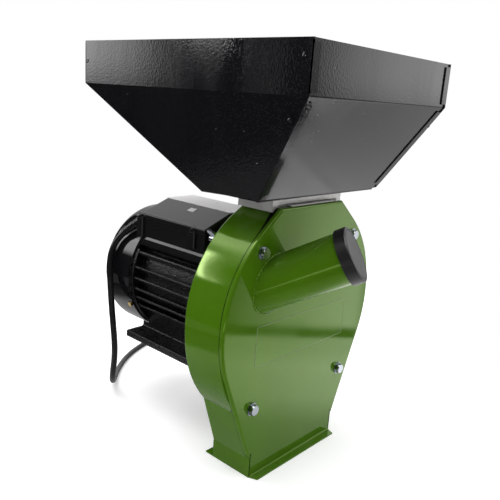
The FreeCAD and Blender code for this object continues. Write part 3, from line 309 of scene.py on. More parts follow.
class Tree:
    """Short ways to add nodes to a node tree and to join them."""

    def __init__(self, tree):
        self.tree = tree
        self.nodes = tree.nodes

    def link(self, value, socket):
        self.tree.links.new(value, socket)

    def put(self, node, key, value):
        """Join a socket to one of the node's inputs, or set that input to a plain value."""
        if isinstance(value, bpy.types.NodeSocket):
            self.link(value, node.inputs[key])
        else:
            node.inputs[key].default_value = value

    def add(self, kind, inputs=None, **settings):
        node = self.nodes.new(kind)
        for name, value in settings.items():
            setattr(node, name, value)
        for key, value in (inputs or {}).items():
            self.put(node, key, value)
        return node

    def math(self, operation, a, b, clamp=False):
        return self.add("ShaderNodeMath", {0: a, 1: b}, operation=operation,
                        use_clamp=clamp).outputs[0]

    def times(self, a, b, clamp=False):
        return self.math("MULTIPLY", a, b, clamp)

    def plus(self, a, b, clamp=False):
        return self.math("ADD", a, b, clamp)

    def vector(self, operation, *inputs):
        return self.add("ShaderNodeVectorMath", dict(enumerate(inputs)),
                        operation=operation).outputs

    def remap(self, value, low, high, to_low=0.0, to_high=1.0):
        return self.add("ShaderNodeMapRange", {
            "Value": value, "From Min": low, "From Max": high, "To Min": to_low,
            "To Max": to_high}).outputs["Result"]

    def noise(self, vector, scale, detail=2.0, rough=0.5, distortion=0.0):
        return self.add("ShaderNodeTexNoise", {
            "Vector": vector, "Scale": scale, "Detail": detail, "Roughness": rough,
            "Distortion": distortion}).outputs[0]

    def cells(self, vector, scale, feature="F1", **inputs):
        return self.add("ShaderNodeTexVoronoi", {"Vector": vector, "Scale": scale, **inputs},
                        feature=feature).outputs

    def part(self, vector, letter):
        return self.add("ShaderNodeSeparateXYZ", {0: vector}).outputs[letter]

    def mix(self, share, a, b):
        node = self.add("ShaderNodeMix", {0: share}, data_type="RGBA")
        for key, colour in ((6, a), (7, b)):
            plain = not isinstance(colour, bpy.types.NodeSocket)
            self.put(node, key, (*colour, 1.0) if plain else colour)
        return node.outputs[2]


def group_tree(key, name, inputs, outputs):
    """A new shared group with number inputs and outputs. Returns its tree, what it is given, what
    it gives and the place on the piece."""
    tree = GROUPS[key] = bpy.data.node_groups.new(name, "ShaderNodeTree")
    for label, value in inputs.items():
        tree.interface.new_socket(name=label, in_out="INPUT",
                                  socket_type="NodeSocketFloat").default_value = value
    for label in outputs:
        tree.interface.new_socket(name=label, in_out="OUTPUT", socket_type="NodeSocketFloat")
    work = Tree(tree)
    start, end = work.add("NodeGroupInput"), work.add("NodeGroupOutput")
    return work, start.outputs, end.inputs, work.add("ShaderNodeTexCoord").outputs["Object"]


def build_groups():
    """Every shared effect."""
    t, given, out, place = group_tree(
        "paint", "Paint skin",
        {"Peel Size": 700.0, "Peel Height": 2e-6, "Wave Size": 14.0, "Wave Height": 1e-4},
        ["Height"])
    peel = t.times(t.noise(place, given["Peel Size"], 1.0), given["Peel Height"])
    wave = t.times(t.noise(place, given["Wave Size"], 0.0), given["Wave Height"])
    t.link(t.plus(peel, wave), out["Height"])

    t, given, out, place = group_tree(
        "speckle", "Hammered speckle", {"Size": 430.0, "Height": 2e-5}, ["Height", "Glint"])
    dimple = t.cells(place, given["Size"], "SMOOTH_F1", Smoothness=0.6)["Distance"]
    ripple = t.noise(place, t.times(given["Size"], 0.45), 2.0, 0.6)
    t.link(t.times(t.plus(dimple, t.times(ripple, 0.3)), given["Height"]), out["Height"])
    # Near each dimple's middle: where a glint is painted into the colour.
    t.link(t.remap(dimple, 0.32, 0.05), out["Glint"])

    t, given, out, place = group_tree(
        "cast", "Cast skin", {"Grain Size": 420.0, "Height": 1.6e-4}, ["Height", "Pits"])
    coarse = t.noise(place, t.times(given["Grain Size"], 0.35), 3.0, 0.6)
    fine = t.noise(place, given["Grain Size"], 4.0, 0.68)
    lumps = t.cells(place, given["Grain Size"])["Distance"]
    total = t.plus(t.times(coarse, 0.7), t.times(fine, 0.8))
    total = t.math("SUBTRACT", total, t.times(lumps, 0.35))
    t.link(t.times(total, given["Height"]), out["Height"])
    t.link(t.remap(fine, 0.42, 0.30), out["Pits"])

    t, given, out, place = group_tree(
        "wear", "Edge wear", {"Width": 0.0008, "Amount": 0.5, "Break-up": 160.0}, ["Mask"])
    bevel = t.add("ShaderNodeBevel", {"Radius": given["Width"]}, samples=4).outputs["Normal"]
    flat = t.add("ShaderNodeNewGeometry").outputs["Normal"]
    edge = t.remap(t.vector("DOT_PRODUCT", bevel, flat)["Value"], 0.995, 0.86)
    broken = t.remap(t.noise(place, given["Break-up"], 4.0, 0.6), 0.42, 0.62)
    t.link(t.times(t.times(edge, broken), given["Amount"], clamp=True), out["Mask"])

    t, given, out, place = group_tree(
        "dust", "Meal dust", {"Amount": 0.3, "Patch Size": 45.0}, ["Mask"])
    lying = t.remap(t.part(t.add("ShaderNodeNewGeometry").outputs["Normal"], "Z"), 0.15, 0.95)
    patch = t.remap(t.noise(place, given["Patch Size"], 4.0, 0.65), 0.40, 0.70)
    specks = t.remap(t.noise(place, 1600.0, 1.0), 0.62, 0.72)
    settled = t.plus(t.times(patch, 0.6), t.times(specks, 0.5))
    t.link(t.times(t.times(settled, lying), given["Amount"], clamp=True), out["Mask"])

    t, given, out, place = group_tree("spangle", "Zinc spangle", {"Size": 95.0}, ["Value", "Stain"])
    shade = t.part(t.cells(place, given["Size"])["Color"], "X")
    cloud = t.noise(place, t.times(given["Size"], 0.3), 3.0, 0.6)
    t.link(t.plus(t.times(shade, 0.5), t.times(cloud, 0.5)), out["Value"])
    t.link(t.remap(t.noise(place, 38.0, 3.0, 0.7), 0.52, 0.75), out["Stain"])

    t, given, out, place = group_tree(
        "drawn", "Drawn lines",
        {"Along X": 1.0, "Along Y": 1.0, "Along Z": 1.0, "Size": 900.0, "Height": 2e-6},
        ["Height", "Value"])
    stretch = t.add("ShaderNodeCombineXYZ",
                    {0: given["Along X"], 1: given["Along Y"], 2: given["Along Z"]}).outputs[0]
    lines = t.noise(t.vector("MULTIPLY", place, stretch)[0], given["Size"], 3.0, 0.6)
    t.link(t.times(lines, given["Height"]), out["Height"])
    t.link(lines, out["Value"])

    # Small scattered bright dots: painted glints.
    t, given, out, place = group_tree(
        "specks", "Painted glint specks", {"Spread": 140.0, "Amount": 1.0}, ["Mask"])
    dots = t.cells(place, given["Spread"])
    few = t.math("GREATER_THAN", t.part(dots["Color"], "X"), 0.90)
    spot = t.remap(dots["Distance"], 0.09, 0.05)
    t.link(t.times(t.times(few, spot), given["Amount"], clamp=True), out["Mask"])

    t, given, out, place = group_tree("smears", "Smears", {"Size": 34.0}, ["Value"])
    slanted = t.add("ShaderNodeMapping", {"Vector": place, "Rotation": (0.5, 0.7, 0.3),
                                          "Scale": (1, 1, 0.22)}).outputs[0]
    t.link(t.noise(slanted, given["Size"], 3.0, 0.55, 0.6), out["Value"])

    t, given, out, place = group_tree(
        "cloud", "Cloudy", {"Size": 22.0, "Low": 0.9, "High": 1.1}, ["Value"])
    cloud = t.noise(place, given["Size"], 4.0, 0.6)
    t.link(t.remap(cloud, 0.3, 0.7, given["Low"], given["High"]), out["Value"])

    t, given, out, place = group_tree("scuffs", "Scuffs", {"Size": 60.0, "Amount": 0.5}, ["Mask"])
    warp = t.add("ShaderNodeTexNoise", {"Vector": place, "Scale": 25.0}).outputs["Color"]
    bent = t.vector("MULTIPLY_ADD", place, warp, (0.02, 0.02, 0.02))[0]
    thin = t.remap(t.cells(bent, given["Size"], "DISTANCE_TO_EDGE")["Distance"], 0.012, 0.0)
    sparse = t.remap(t.noise(place, 70.0, 3.0, 0.6), 0.52, 0.66)
    t.link(t.times(t.times(thin, sparse), given["Amount"], clamp=True), out["Mask"])


class Finish(Tree):
    """A material with one Principled shader, and the shared groups placed in it."""

    def __init__(self, name, **shader):
        self.material = bpy.data.materials.new(name)
        self.material.use_nodes = True
        super().__init__(self.material.node_tree)
        self.shader = self.nodes["Principled BSDF"]
        for key, value in shader.items():
            self.shader.inputs[key.replace("_", " ")].default_value = value

    def group(self, key, **values):
        node = self.add("ShaderNodeGroup", node_tree=GROUPS[key])
        for name, value in values.items():
            node.inputs[name.replace("_", " ")].default_value = value
        return node.outputs

    def shade(self, colour, value):
        """A colour made lighter or darker by a value that changes over the surface."""
        return self.vector("MULTIPLY", colour, value)[0]

    def feed(self, socket, value):
        self.link(value, self.shader.inputs[socket])

    def bump(self, height):
        """Raise the surface by a height in metres."""
        node = self.add("ShaderNodeBump", {"Height": height, "Strength": 1.0, "Distance": 1.0})
        self.feed("Normal", node.outputs[0])

    def skin(self, peel_size, peel_height, wave_size, wave_height):
        return self.group("paint", Peel_Size=peel_size, Peel_Height=peel_height,
                          Wave_Size=wave_size, Wave_Height=wave_height)["Height"]


def rgb(colour, factor=1.0):
    return tuple(min(1.0, c * factor) for c in colour[:3])


MEAL_COLOUR = (0.42, 0.40, 0.33)
DUST_COLOUR = (0.30, 0.28, 0.24)


def painted(name, colour, cloud, rough, skin, wear=None, dust=None, scuffs=None, **shader):
    """Paint, plastic or paper with a cloudy colour. cloud is its size, lowest and highest shade,
    rough the roughness at those two, skin the size and height of peel and of waves. wear is the
    width of worn edges, their amount and colour, dust an amount and a colour, scuffs an amount."""
    f = Finish(name, **shader)
    size, low, high = cloud
    shade = f.group("cloud", Size=size, Low=low, High=high)["Value"]
    surface, roughness = f.shade(colour, shade), f.remap(shade, low, high, *rough)
    if wear:
        surface = f.mix(f.group("wear", Width=wear[0], Amount=wear[1])["Mask"], surface, wear[2])
    if dust:
        mask = f.group("dust", Amount=dust[0])["Mask"]
        surface, roughness = f.mix(mask, surface, dust[1]), f.plus(f.times(mask, 0.5), roughness)
    if scuffs:
        mask = f.group("scuffs", Amount=scuffs)["Mask"]
        surface = f.mix(mask, surface, rgb(colour, 2.2))
        roughness = f.plus(f.times(mask, 0.2), roughness)
    f.feed("Base Color", surface)
    f.feed("Roughness", roughness)
    f.bump(f.skin(*skin))
    return f.material


def green_enamel(look, name, wave_size):
    rough = look.enamel_gloss * 0.8, look.enamel_gloss * 1.3
    skin = 420.0, 6e-6, wave_size, 2.2e-4
    return painted(name, rgb(look.green), (16.0, 0.93, 1.06), rough, skin,
                   wear=(0.0007, 0.35, rgb(look.green, 1.7)), dust=(0.10, MEAL_COLOUR),
                   IOR=1.75, Specular_Tint=(*look.green_gloss[:3], 1.0))


def clear_film(look):
    return painted("clear film", rgb(look.green, 1.06), (30.0, 0.96, 1.05), (0.08, 0.13),
                   (420.0, 6e-6, 24.0, 1.2e-4), wear=(0.0005, 0.6, (0.55, 0.62, 0.50)),
                   IOR=1.75, Specular_Tint=(*look.green_gloss[:3], 1.0))


def motor_gloss(look):
    return painted("black gloss", rgb(look.black, 0.9), (18.0, 0.85, 1.2), (0.04, 0.08),
                   (260.0, 4e-6, 16.0, 5e-5), wear=(0.0006, 0.3, (0.10, 0.10, 0.10)),
                   dust=(0.06, DUST_COLOUR), IOR=1.5)


def label_paper(look):
    return painted("blank label", rgb(look.label), (45.0, 0.93, 1.04), (0.26, 0.40),
                   (180.0, 8e-6, 60.0, 6e-5), wear=(0.0006, 0.3, (0.35, 0.34, 0.33)), IOR=1.46)


def moulded(name, colour, rough, grain=2.5e-6, size=1400.0, scuff=0.4, ior=1.48):
    """Moulded plastic or rubber: fine eroded grain, a little unevenness and faint scuffs."""
    return painted(name, colour, (26.0, 0.88, 1.12), (rough * 0.88, rough * 1.12),
                   (size, grain, 40.0, 2e-5), scuffs=scuff, IOR=ior)


def black_enamel(look):
    """The hopper's paint: hammered speckle with painted glints at its dimples and in scattered bright
    specks, wiped smears and worn edges.
    """
    f = Finish("black enamel", IOR=1.5)
    cloud = f.group("cloud", Size=12.0, Low=0.8, High=1.25)["Value"]
    speckle = f.group("speckle", Size=540.0, Height=6e-5)
    dust = f.group("dust", Amount=0.10, Patch_Size=30.0)["Mask"]
    # Lighter black near the dimples' middles: painted glints.
    paint = f.mix(speckle["Glint"], f.shade(rgb(look.black), cloud), rgb(look.black, 4.0))
    paint = f.mix(f.group("wear", Width=0.0006, Amount=0.4)["Mask"], paint, (0.09, 0.09, 0.095))
    # Bright specks: painted glints.
    paint = f.mix(f.group("specks", Spread=210.0, Amount=0.6)["Mask"], paint, (0.55, 0.53, 0.50))
    f.feed("Base Color", f.mix(dust, paint, DUST_COLOUR))
    rough = f.remap(f.group("smears")["Value"], 0.35, 0.75, look.black_gloss * 0.8,
                    look.black_gloss * 2.4)
    f.feed("Roughness", f.plus(f.times(dust, 0.4), rough))
    f.bump(f.plus(f.skin(300.0, 3e-6, 9.0, 3e-4), speckle["Height"]))
    return f.material


def black_casting(look):
    """The motor's paint over a rough casting, thin and dark in the pits."""
    f = Finish("black casting", IOR=1.5)
    cast = f.group("cast", Grain_Size=430.0, Height=7e-4)
    wear = f.group("wear", Width=0.0012, Amount=0.30)["Mask"]
    paint = f.mix(cast["Pits"], rgb(look.black, 0.8), rgb(look.black, 0.4))
    f.feed("Base Color", f.mix(wear, paint, (0.16, 0.16, 0.165)))
    f.feed("Roughness", f.remap(cast["Pits"], 0.0, 1.0, 0.24, 0.50))
    f.bump(cast["Height"])
    return f.material


def metal(name, colour, rough, lines=(1.0, 1.0, 1.0), height=1.5e-6, stain=None, wear=0.3):
    """Bare or plated metal: drawn or ground lines, cloudiness, worn edges and a few stains."""
    f = Finish(name, Metallic=1.0)
    drawn = f.group("drawn", Along_X=lines[0], Along_Y=lines[1], Along_Z=lines[2], Height=height)
    spangle = f.group("spangle", Size=95.0)
    edge = f.group("wear", Width=0.0005, Amount=wear)["Mask"]
    tone = f.remap(f.plus(drawn["Value"], f.times(spangle["Value"], 0.4)), 0.3, 1.0, 0.86, 1.10)
    surface = f.shade(colour, tone)
    if stain:
        surface = f.mix(f.times(spangle["Stain"], 0.5), surface, stain)
    f.feed("Base Color", f.mix(edge, surface, rgb(colour, 1.25)))
    f.feed("Roughness", f.remap(drawn["Value"], 0.3, 0.7, rough * 0.8, rough * 1.25))
    f.bump(drawn["Height"])
    return f.material


def galvanised(look, name, metallic, level, rough):
    """Zinc-dipped sheet with its spangle, stained in places; level makes it lighter or darker."""
    f = Finish(name, Metallic=metallic)
    spangle = f.group("spangle", Size=85.0)
    edge = f.group("wear", Width=0.0005, Amount=0.3)["Mask"]
    tone = f.remap(spangle["Value"], 0.25, 0.75, 0.88, 1.10)
    sheet = f.mix(f.times(spangle["Stain"], 0.35), f.shade(rgb(look.galvanised, level), tone),
                  rgb((0.36, 0.30, 0.22), level))
    f.feed("Base Color", f.mix(edge, sheet, (0.8, 0.8, 0.8)))
    f.feed("Roughness", f.remap(spangle["Value"], 0.25, 0.75, *rough))
    f.bump(f.group("drawn", Along_Z=0.15, Height=1.5e-6)["Height"])
    return f.material


def layered(name, dark, light, band, cloud, lines, **shader):
    """Wires or thin sheets side by side, dark between them. band is where the lines' value turns
    from dark to light, cloud the size, lowest and highest shade, lines the drawn lines' values."""
    f = Finish(name, **shader)
    drawn = f.group("drawn", **lines)
    shade = f.group("cloud", Size=cloud[0], Low=cloud[1], High=cloud[2])["Value"]
    f.feed("Base Color", f.mix(f.remap(drawn["Value"], *band), dark, f.shade(light, shade)))
    f.bump(drawn["Height"])
    return f.material


MATERIALS = {}


def build_finishes(look):
    """Every finish: those that the record's slots name, and those of the pieces made here."""
    build_groups()
    MATERIALS.update({
        "green_enamel": green_enamel(look, "green enamel", 13.0),
        "drum_enamel": green_enamel(look, "drum enamel", 34.0),
        "black_enamel": black_enamel(look),
        "black_casting": black_casting(look),
        "motor_gloss": motor_gloss(look),
        "galvanised": galvanised(look, "galvanised sheet", 0.6, 1.0, (0.30, 0.48)),
        "gate_sheet": galvanised(look, "dull gate sheet", 0.30, 0.62, (0.45, 0.60)),
        "copper_winding": layered(
            "varnished copper", (0.20, 0.055, 0.012), (0.62, 0.25, 0.09), (0.35, 0.65),
            (60.0, 0.75, 1.15), {"Along_Y": 0.2, "Size": 700.0, "Height": 6e-5}, Metallic=0.9,
            Roughness=0.28),
        "lamination": layered(
            "varnished laminations", (0.05, 0.048, 0.05), (0.26, 0.26, 0.27), (0.35, 0.6),
            (40.0, 0.8, 1.15), {"Along_X": 0.02, "Along_Z": 0.02, "Size": 1900.0, "Height": 4e-5},
            Metallic=0.85, Roughness=0.42),
        "black_plastic": moulded("cap plastic", rgb(look.plastic, 0.9), 0.42, 7e-6, 1700.0,
                                 ior=1.62),
        "box_plastic": moulded("box plastic", rgb(look.plastic, 0.7), 0.17, 4e-7, 900.0, 0.2),
        "fan_plastic": moulded("fan plastic", (0.02, 0.02, 0.021), 0.45),
        "gasket_rubber": moulded("gasket rubber", (0.012, 0.012, 0.012), 0.7),
        "cord_rubber": moulded("lead rubber", (0.0085, 0.0085, 0.009), 0.26, 3e-6, 600.0),
        "capacitor_case": moulded("capacitor case", (0.55, 0.55, 0.52), 0.4),
        "block_plastic": moulded("terminal block plastic", (0.16, 0.05, 0.018), 0.45),
        "shaded_gap": moulded("shaded gap", (0.004, 0.004, 0.004), 0.8, ior=1.12),
        "black_screw": moulded("blacked screw", (0.012, 0.012, 0.013), 0.28),
        # Lighter than the film so that its rim shows as a light line: a painted highlight.
        "film_rim_highlight": moulded("film rim highlight", (0.30, 0.37, 0.20), 0.30),
        "zinc": metal("bright zinc", rgb(look.zinc), 0.20, lines=(1.0, 0.08, 1.0), height=2e-6),
        "screen_steel": metal("screen steel", (0.36, 0.36, 0.36), 0.38, lines=(1.0, 0.1, 1.0),
                              stain=(0.20, 0.14, 0.09)),
        "bare_steel": metal("machined steel", rgb(look.steel), 0.26),
        "hammer_steel": metal("hardened steel", (0.16, 0.165, 0.18), 0.34, lines=(1.0, 1.0, 0.1),
                              stain=(0.10, 0.07, 0.06), wear=0.8),
        "brass_screw": metal("yellow zinc", (0.60, 0.42, 0.15), 0.24),
        "pin_brass": metal("nickel plate", (0.62, 0.57, 0.48), 0.16),
        "label": label_paper(look),
        "film": clear_film(look),
    })


# Operators

SENSOR_WIDTH = 36.0
COIL_START, COIL_DEGREES, COIL_STEP = 95.0, 1176.0, 22.5
# The curve's box is grown by each point's radius, so that is small, and the bevel depth scaled up
POINT_RADIUS = 0.001


class MillOperator:
    """What every operator of this add-on shares: it undoes as one step."""
    bl_options = {"REGISTER", "UNDO"}


class HAMMERMILL_OT_camera(MillOperator, bpy.types.Operator):
    """Place the camera and look at the mill from its cover's left"""
    bl_idname = "hammermill.camera"
    bl_label = "Camera"

    def execute(self, context):
        stage = context.scene.mill_stage
        ahead = Vector((-math.sin(stage.heading), math.cos(stage.heading), 0.0))
        right = Vector((math.cos(stage.heading), math.sin(stage.heading), 0.0))
        view = math.cos(stage.tilt) * ahead - math.sin(stage.tilt) * Vector((0, 0, 1))
        view.normalize()
        up = right.cross(view)
        across = math.cos(stage.roll) * right + math.sin(stage.roll) * up
        above = -math.sin(stage.roll) * right + math.cos(stage.roll) * up
        data = bpy.data.cameras.new("studio camera")
        data.lens, data.sensor_width = stage.lens, SENSOR_WIDTH
        data.clip_start, data.clip_end = 0.01, 50.0
        camera = bpy.data.objects.new("studio_camera", data)
        turn = Matrix((across, above, -view)).transposed().to_4x4()
        camera.matrix_world = Matrix.Translation(stage.eye) @ turn
        context.scene.collection.objects.link(camera)
        context.scene.camera = camera
        return {"FINISHED"}


def coil_points(lead):
    """Turns of the put-away length, clockwise from above: an outer and an inner one on the floor,
    then an inner and an outer one on top. Radius and height each change within 40 degrees."""
    degrees = np.arange(0.0, COIL_DEGREES, COIL_STEP)
    radius = np.interp(degrees, (320, 360, 960, 1000),
                       (lead.coil_outer, lead.coil_inner, lead.coil_inner, lead.coil_outer))
    low = FLOOR_Z + lead.diameter / 2
    height = np.interp(degrees, (640, 680), (low, low + lead.diameter))
    angle = np.radians(COIL_START - degrees)
    # The curve passes inside its points, by this share at this step
    reach = radius / (0.75 + 0.25 * math.cos(math.radians(COIL_STEP)))
    return points_at(COIL_CENTRE[0] + reach * np.cos(angle), COIL_CENTRE[1] + reach * np.sin(angle),
                     height)


def curve_line(piece):
    """Points read along a curve's own line, with its thickness left off."""
    depth = piece.data.bevel_depth
    piece.data.bevel_depth = 0.0
    bpy.context.view_layer.update()
    evaluated = piece.evaluated_get(bpy.context.evaluated_depsgraph_get())
    line = bpy.data.meshes.new_from_object(evaluated)
    points = np.array([v.co for v in line.vertices], float)
    bpy.data.meshes.remove(line)
    piece.data.bevel_depth = depth
    return points


class HAMMERMILL_OT_mains_lead(MillOperator, bpy.types.Operator):
    """Lay the mains lead from the terminal box to its coil and plug"""
    bl_idname = "hammermill.mains_lead"
    bl_label = "Mains lead"

    def execute(self, context):
        lead = context.scene.mill_lead
        points = np.concatenate([np.array(LEAD_ROUTE), coil_points(lead), np.array(LEAD_TAIL)])
        curve = bpy.data.curves.new("mains_lead", "CURVE")
        curve.dimensions = "3D"
        spline = curve.splines.new("NURBS")
        spline.points.add(len(points) - 1)
        spline.points.foreach_set("co", np.column_stack([points, np.ones(len(points))]).ravel())
        spline.points.foreach_set("radius", np.full(len(points), POINT_RADIUS))
        spline.order_u = 3
        spline.use_endpoint_u = True
        spline.use_smooth = True
        curve.resolution_u = 8
        curve.bevel_depth = lead.diameter / 2 / POINT_RADIUS
        curve.bevel_resolution = 5
        curve.use_fill_caps = True
        curve.materials.append(MATERIALS["cord_rubber"])
        piece = bpy.data.objects.new("mains_lead", curve)
        context.scene.collection.objects.link(piece)
        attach(piece, "mill")
        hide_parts("mains_cord", "cord_coil", "cord_tail")
        line = curve_line(piece)
        steps = np.linalg.norm(np.diff(line, axis=0), axis=1)
        sleeve = self.sleeve(lead, line, steps)
        return {"FINISHED"}

    def sleeve(self, lead, line, steps):
        """The tapered sleeve at the box: a tube along the lead's own line. Its radius falls evenly
        from root to tip, less a narrow groove at each of its rings."""
        inside, rings, groove_depth, plain_share = 0.007, 7, 0.0009, 0.12
        along = np.concatenate([[0.0], np.cumsum(steps)])
        place = np.linspace(-inside, lead.sleeve_length - inside, 120)
        path = np.stack([np.interp(place, along, line[:, i]) for i in range(3)], -1)
        path += np.minimum(place, 0.0)[:, None] * unit(line[1] - line[0])
        share = (place + inside) / lead.sleeve_length
        radius = lead.sleeve_wide + (lead.sleeve_narrow - lead.sleeve_wide) * share
        groove = np.clip(np.cos(2 * np.pi * rings * share) * 3.0 - 1.4, 0.0, 1.0)
        radius -= groove_depth * groove * (share > plain_share)
        patch = tube_patch(path, radius, (0.3, 0.8, 0.5), steps=28)
        return mesh_piece("lead_sleeve", [patch], "cord_rubber")


class HAMMERMILL_OT_plug(MillOperator, bpy.types.Operator):
    """Make the mains plug at the end of the lead"""
    bl_idname = "hammermill.plug"
    bl_label = "Mains plug"

    def execute(self, context):
        plug = mesh_piece("mains_plug", [self.body()], "cord_rubber")
        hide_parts("plug_body")
        return {"FINISHED"}

    def body(self):
        """A turned body: a ringed bend sleeve, a waist with finger flutes that fade out at both ends,
        and a wide face with a rounded rim and a shallow step round the pins."""
        along = np.array([0, 0, 1, 4, 4.5, 6.5, 7, 9, 9.5, 11.5, 12, 14, 14.5, 16.5, 17, 20, 22, 24,
                          26, 29, 32, 35, 38, 41, 44, 45.5, 46.2, 47, 48, 60, 62, 63.2, 63.8, 64, 64,
                          63.2, 63.2]) / 1000
        radius = np.array([0, 4.2, 4.5, 4.7, 4.0, 4.1, 5.0, 5.2, 4.3, 4.5, 5.5, 5.7, 4.7, 4.9, 6.0, 6.3,
                           7.0, 8.6, 10.6, 12.6, 13.8, 14.6, 15.2, 15.8, 16.4, 16.9, 17.8, 18.3, 18.45,
                           18.45, 18.2, 17.6, 16.8, 15.8, 14.6, 14.0, 0]) / 1000
        steps, flutes, flute_depth, fade_length = 96, 16, 0.0009, 0.006
        flute_start, flute_end = 0.026, 0.045
        angle = full_turn(steps)
        flute = 0.5 - 0.5 * np.cos(flutes * angle)
        fade = np.clip(np.minimum(along - flute_start, flute_end - along) / fade_length, 0.0, 1.0)
        return turned(PLUG_END, (0, -1, 0), along,
                      radius[:, None] - flute_depth * fade[:, None] * flute, steps)


class HAMMERMILL_OT_finishes(MillOperator, bpy.types.Operator):
    """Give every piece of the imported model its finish"""
    bl_idname = "hammermill.finishes"
    bl_label = "Finishes"

    def execute(self, context):
        build_finishes(context.scene.mill_finish)
        slots = {part["node"]: part["material_slot"] for part in frame["record"]["subparts"]}
        missing = sorted(set(frame["nodes"]) - set(slots))
        if missing:
            raise RuntimeError("no material slot for " + ", ".join(missing))
        slots.update({"chamber_drum": "drum_enamel", "lid_screws": "black_screw",
                      "slide_gate": "gate_sheet"})
        for name, node in frame["nodes"].items():
            for slot in node.material_slots:
                slot.material = MATERIALS[slots[name]]
        return {"FINISHED"}


class HAMMERMILL_OT_welds(MillOperator, bpy.types.Operator):
    """Run the weld bead round the feed tube, and set the hopper's tab skins and spot welds"""
    bl_idname = "hammermill.welds"
    bl_label = "Welds"

    def execute(self, context):
        self.bead()
        self.tab_skins()
        self.spots()
        return {"FINISHED"}

    def bead(self):
        """Where the tube's cylinder meets the cover's plane: the circle about the tube's axis, each point
        slid along the axis onto the plane. A thin bead follows it, rippled as it was laid."""
        axis, side, over = cross_axes(TUBE_AXIS)
        angle = full_turn(240)
        ring = TUBE_WELD_RADIUS * (np.outer(np.cos(angle), side) + np.outer(np.sin(angle), over))
        ring -= np.outer(ring[:, 1] / axis[1], axis)
        radius = 0.0011 + 0.00022 * np.sin(47 * angle) + 0.00018 * np.sin(11 * angle + 1.0)
        patch = tube_patch(np.asarray(TUBE_ROOT) + ring, radius, (0, -1, 0), steps=12, closed=True)
        mesh_piece("tube_weld", [patch], "green_enamel")

    def tab_skins(self):
        """The tabs folded over the hopper's front and back at each corner, a short one on the rim and a
        long one down the slope to the neck: a skin on each, leaning a little from the wall."""
        low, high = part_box("hopper_left")
        half, neck_half, half_tab = -low.x, 0.0937, 0.0042
        middle = 0.0046  # from the corner to the middle of a tab
        rim_z, half_rim, slope_top, slope_foot, end_gap = 0.3005, 0.0175, 0.2800, 0.1934, 0.004
        patches = []
        for side in (-1, 1):
            across = np.array([-side, 0.0, 0.0])
            for out, rim, neck in ((-1, low.y, COVER_FACE - 0.0092),
                                   (1, high.y, COVER_FACE + 0.0642)):
                rim_tab = np.array([side * (half - middle), rim, rim_z])
                patches.append(self.skin(rim_tab, across, (0, 0, 1), half_tab, half_rim, out))
                top = np.array([side * half, rim, slope_top])
                foot = np.array([side * neck_half, neck, slope_foot])
                half_slope = 0.97 * np.linalg.norm(top - foot) / 2 - end_gap
                patches.append(self.skin((top + foot) / 2 + middle * across, across, top - foot,
                                         half_tab, half_slope, out))
        mesh_piece("tab_skins", patches, "black_enamel")

    def skin(self, centre, across, along, half_across, half_along, out):
        """One skin, facing outwards (out is -1 in front, 1 behind): a plate lifted by up to 0.2 mm
        across its width, h = 0.0001 (1 + u) with u from -1 to 1."""
        across, along = unit(np.asarray(across, float)), unit(np.asarray(along, float))
        if np.cross(across, along)[1] * out < 0:
            across = -across
        square = across - along * np.dot(across, along)
        return plate_patch(centre, square, along, half_across, half_along, 0.00005, corner=0.001,
                           bow=lambda u, v: 0.0001 * (1 + u))

    def spots(self):
        """Shallow pressed spots in the hopper's sides: a raised ring falling away to the sheet, height
        h = a sin(pi r / R) inside the radius R."""
        wall = -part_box("hopper_left")[0].x
        share = np.linspace(0.0, 1.0, 9)
        height, radius = 0.00022 * np.sin(np.pi * share) + 0.00002, 0.0024 * share
        places = (-0.2005, 0.3085), (0.0745, 0.3020), (-0.1918, 0.2617)
        patches = [turned((side * wall, y, z), (side, 0, 0), height, radius, steps=24)
                   for y, z in places for side in (-1, 1)]
        mesh_piece("spot_welds", patches, "black_enamel")


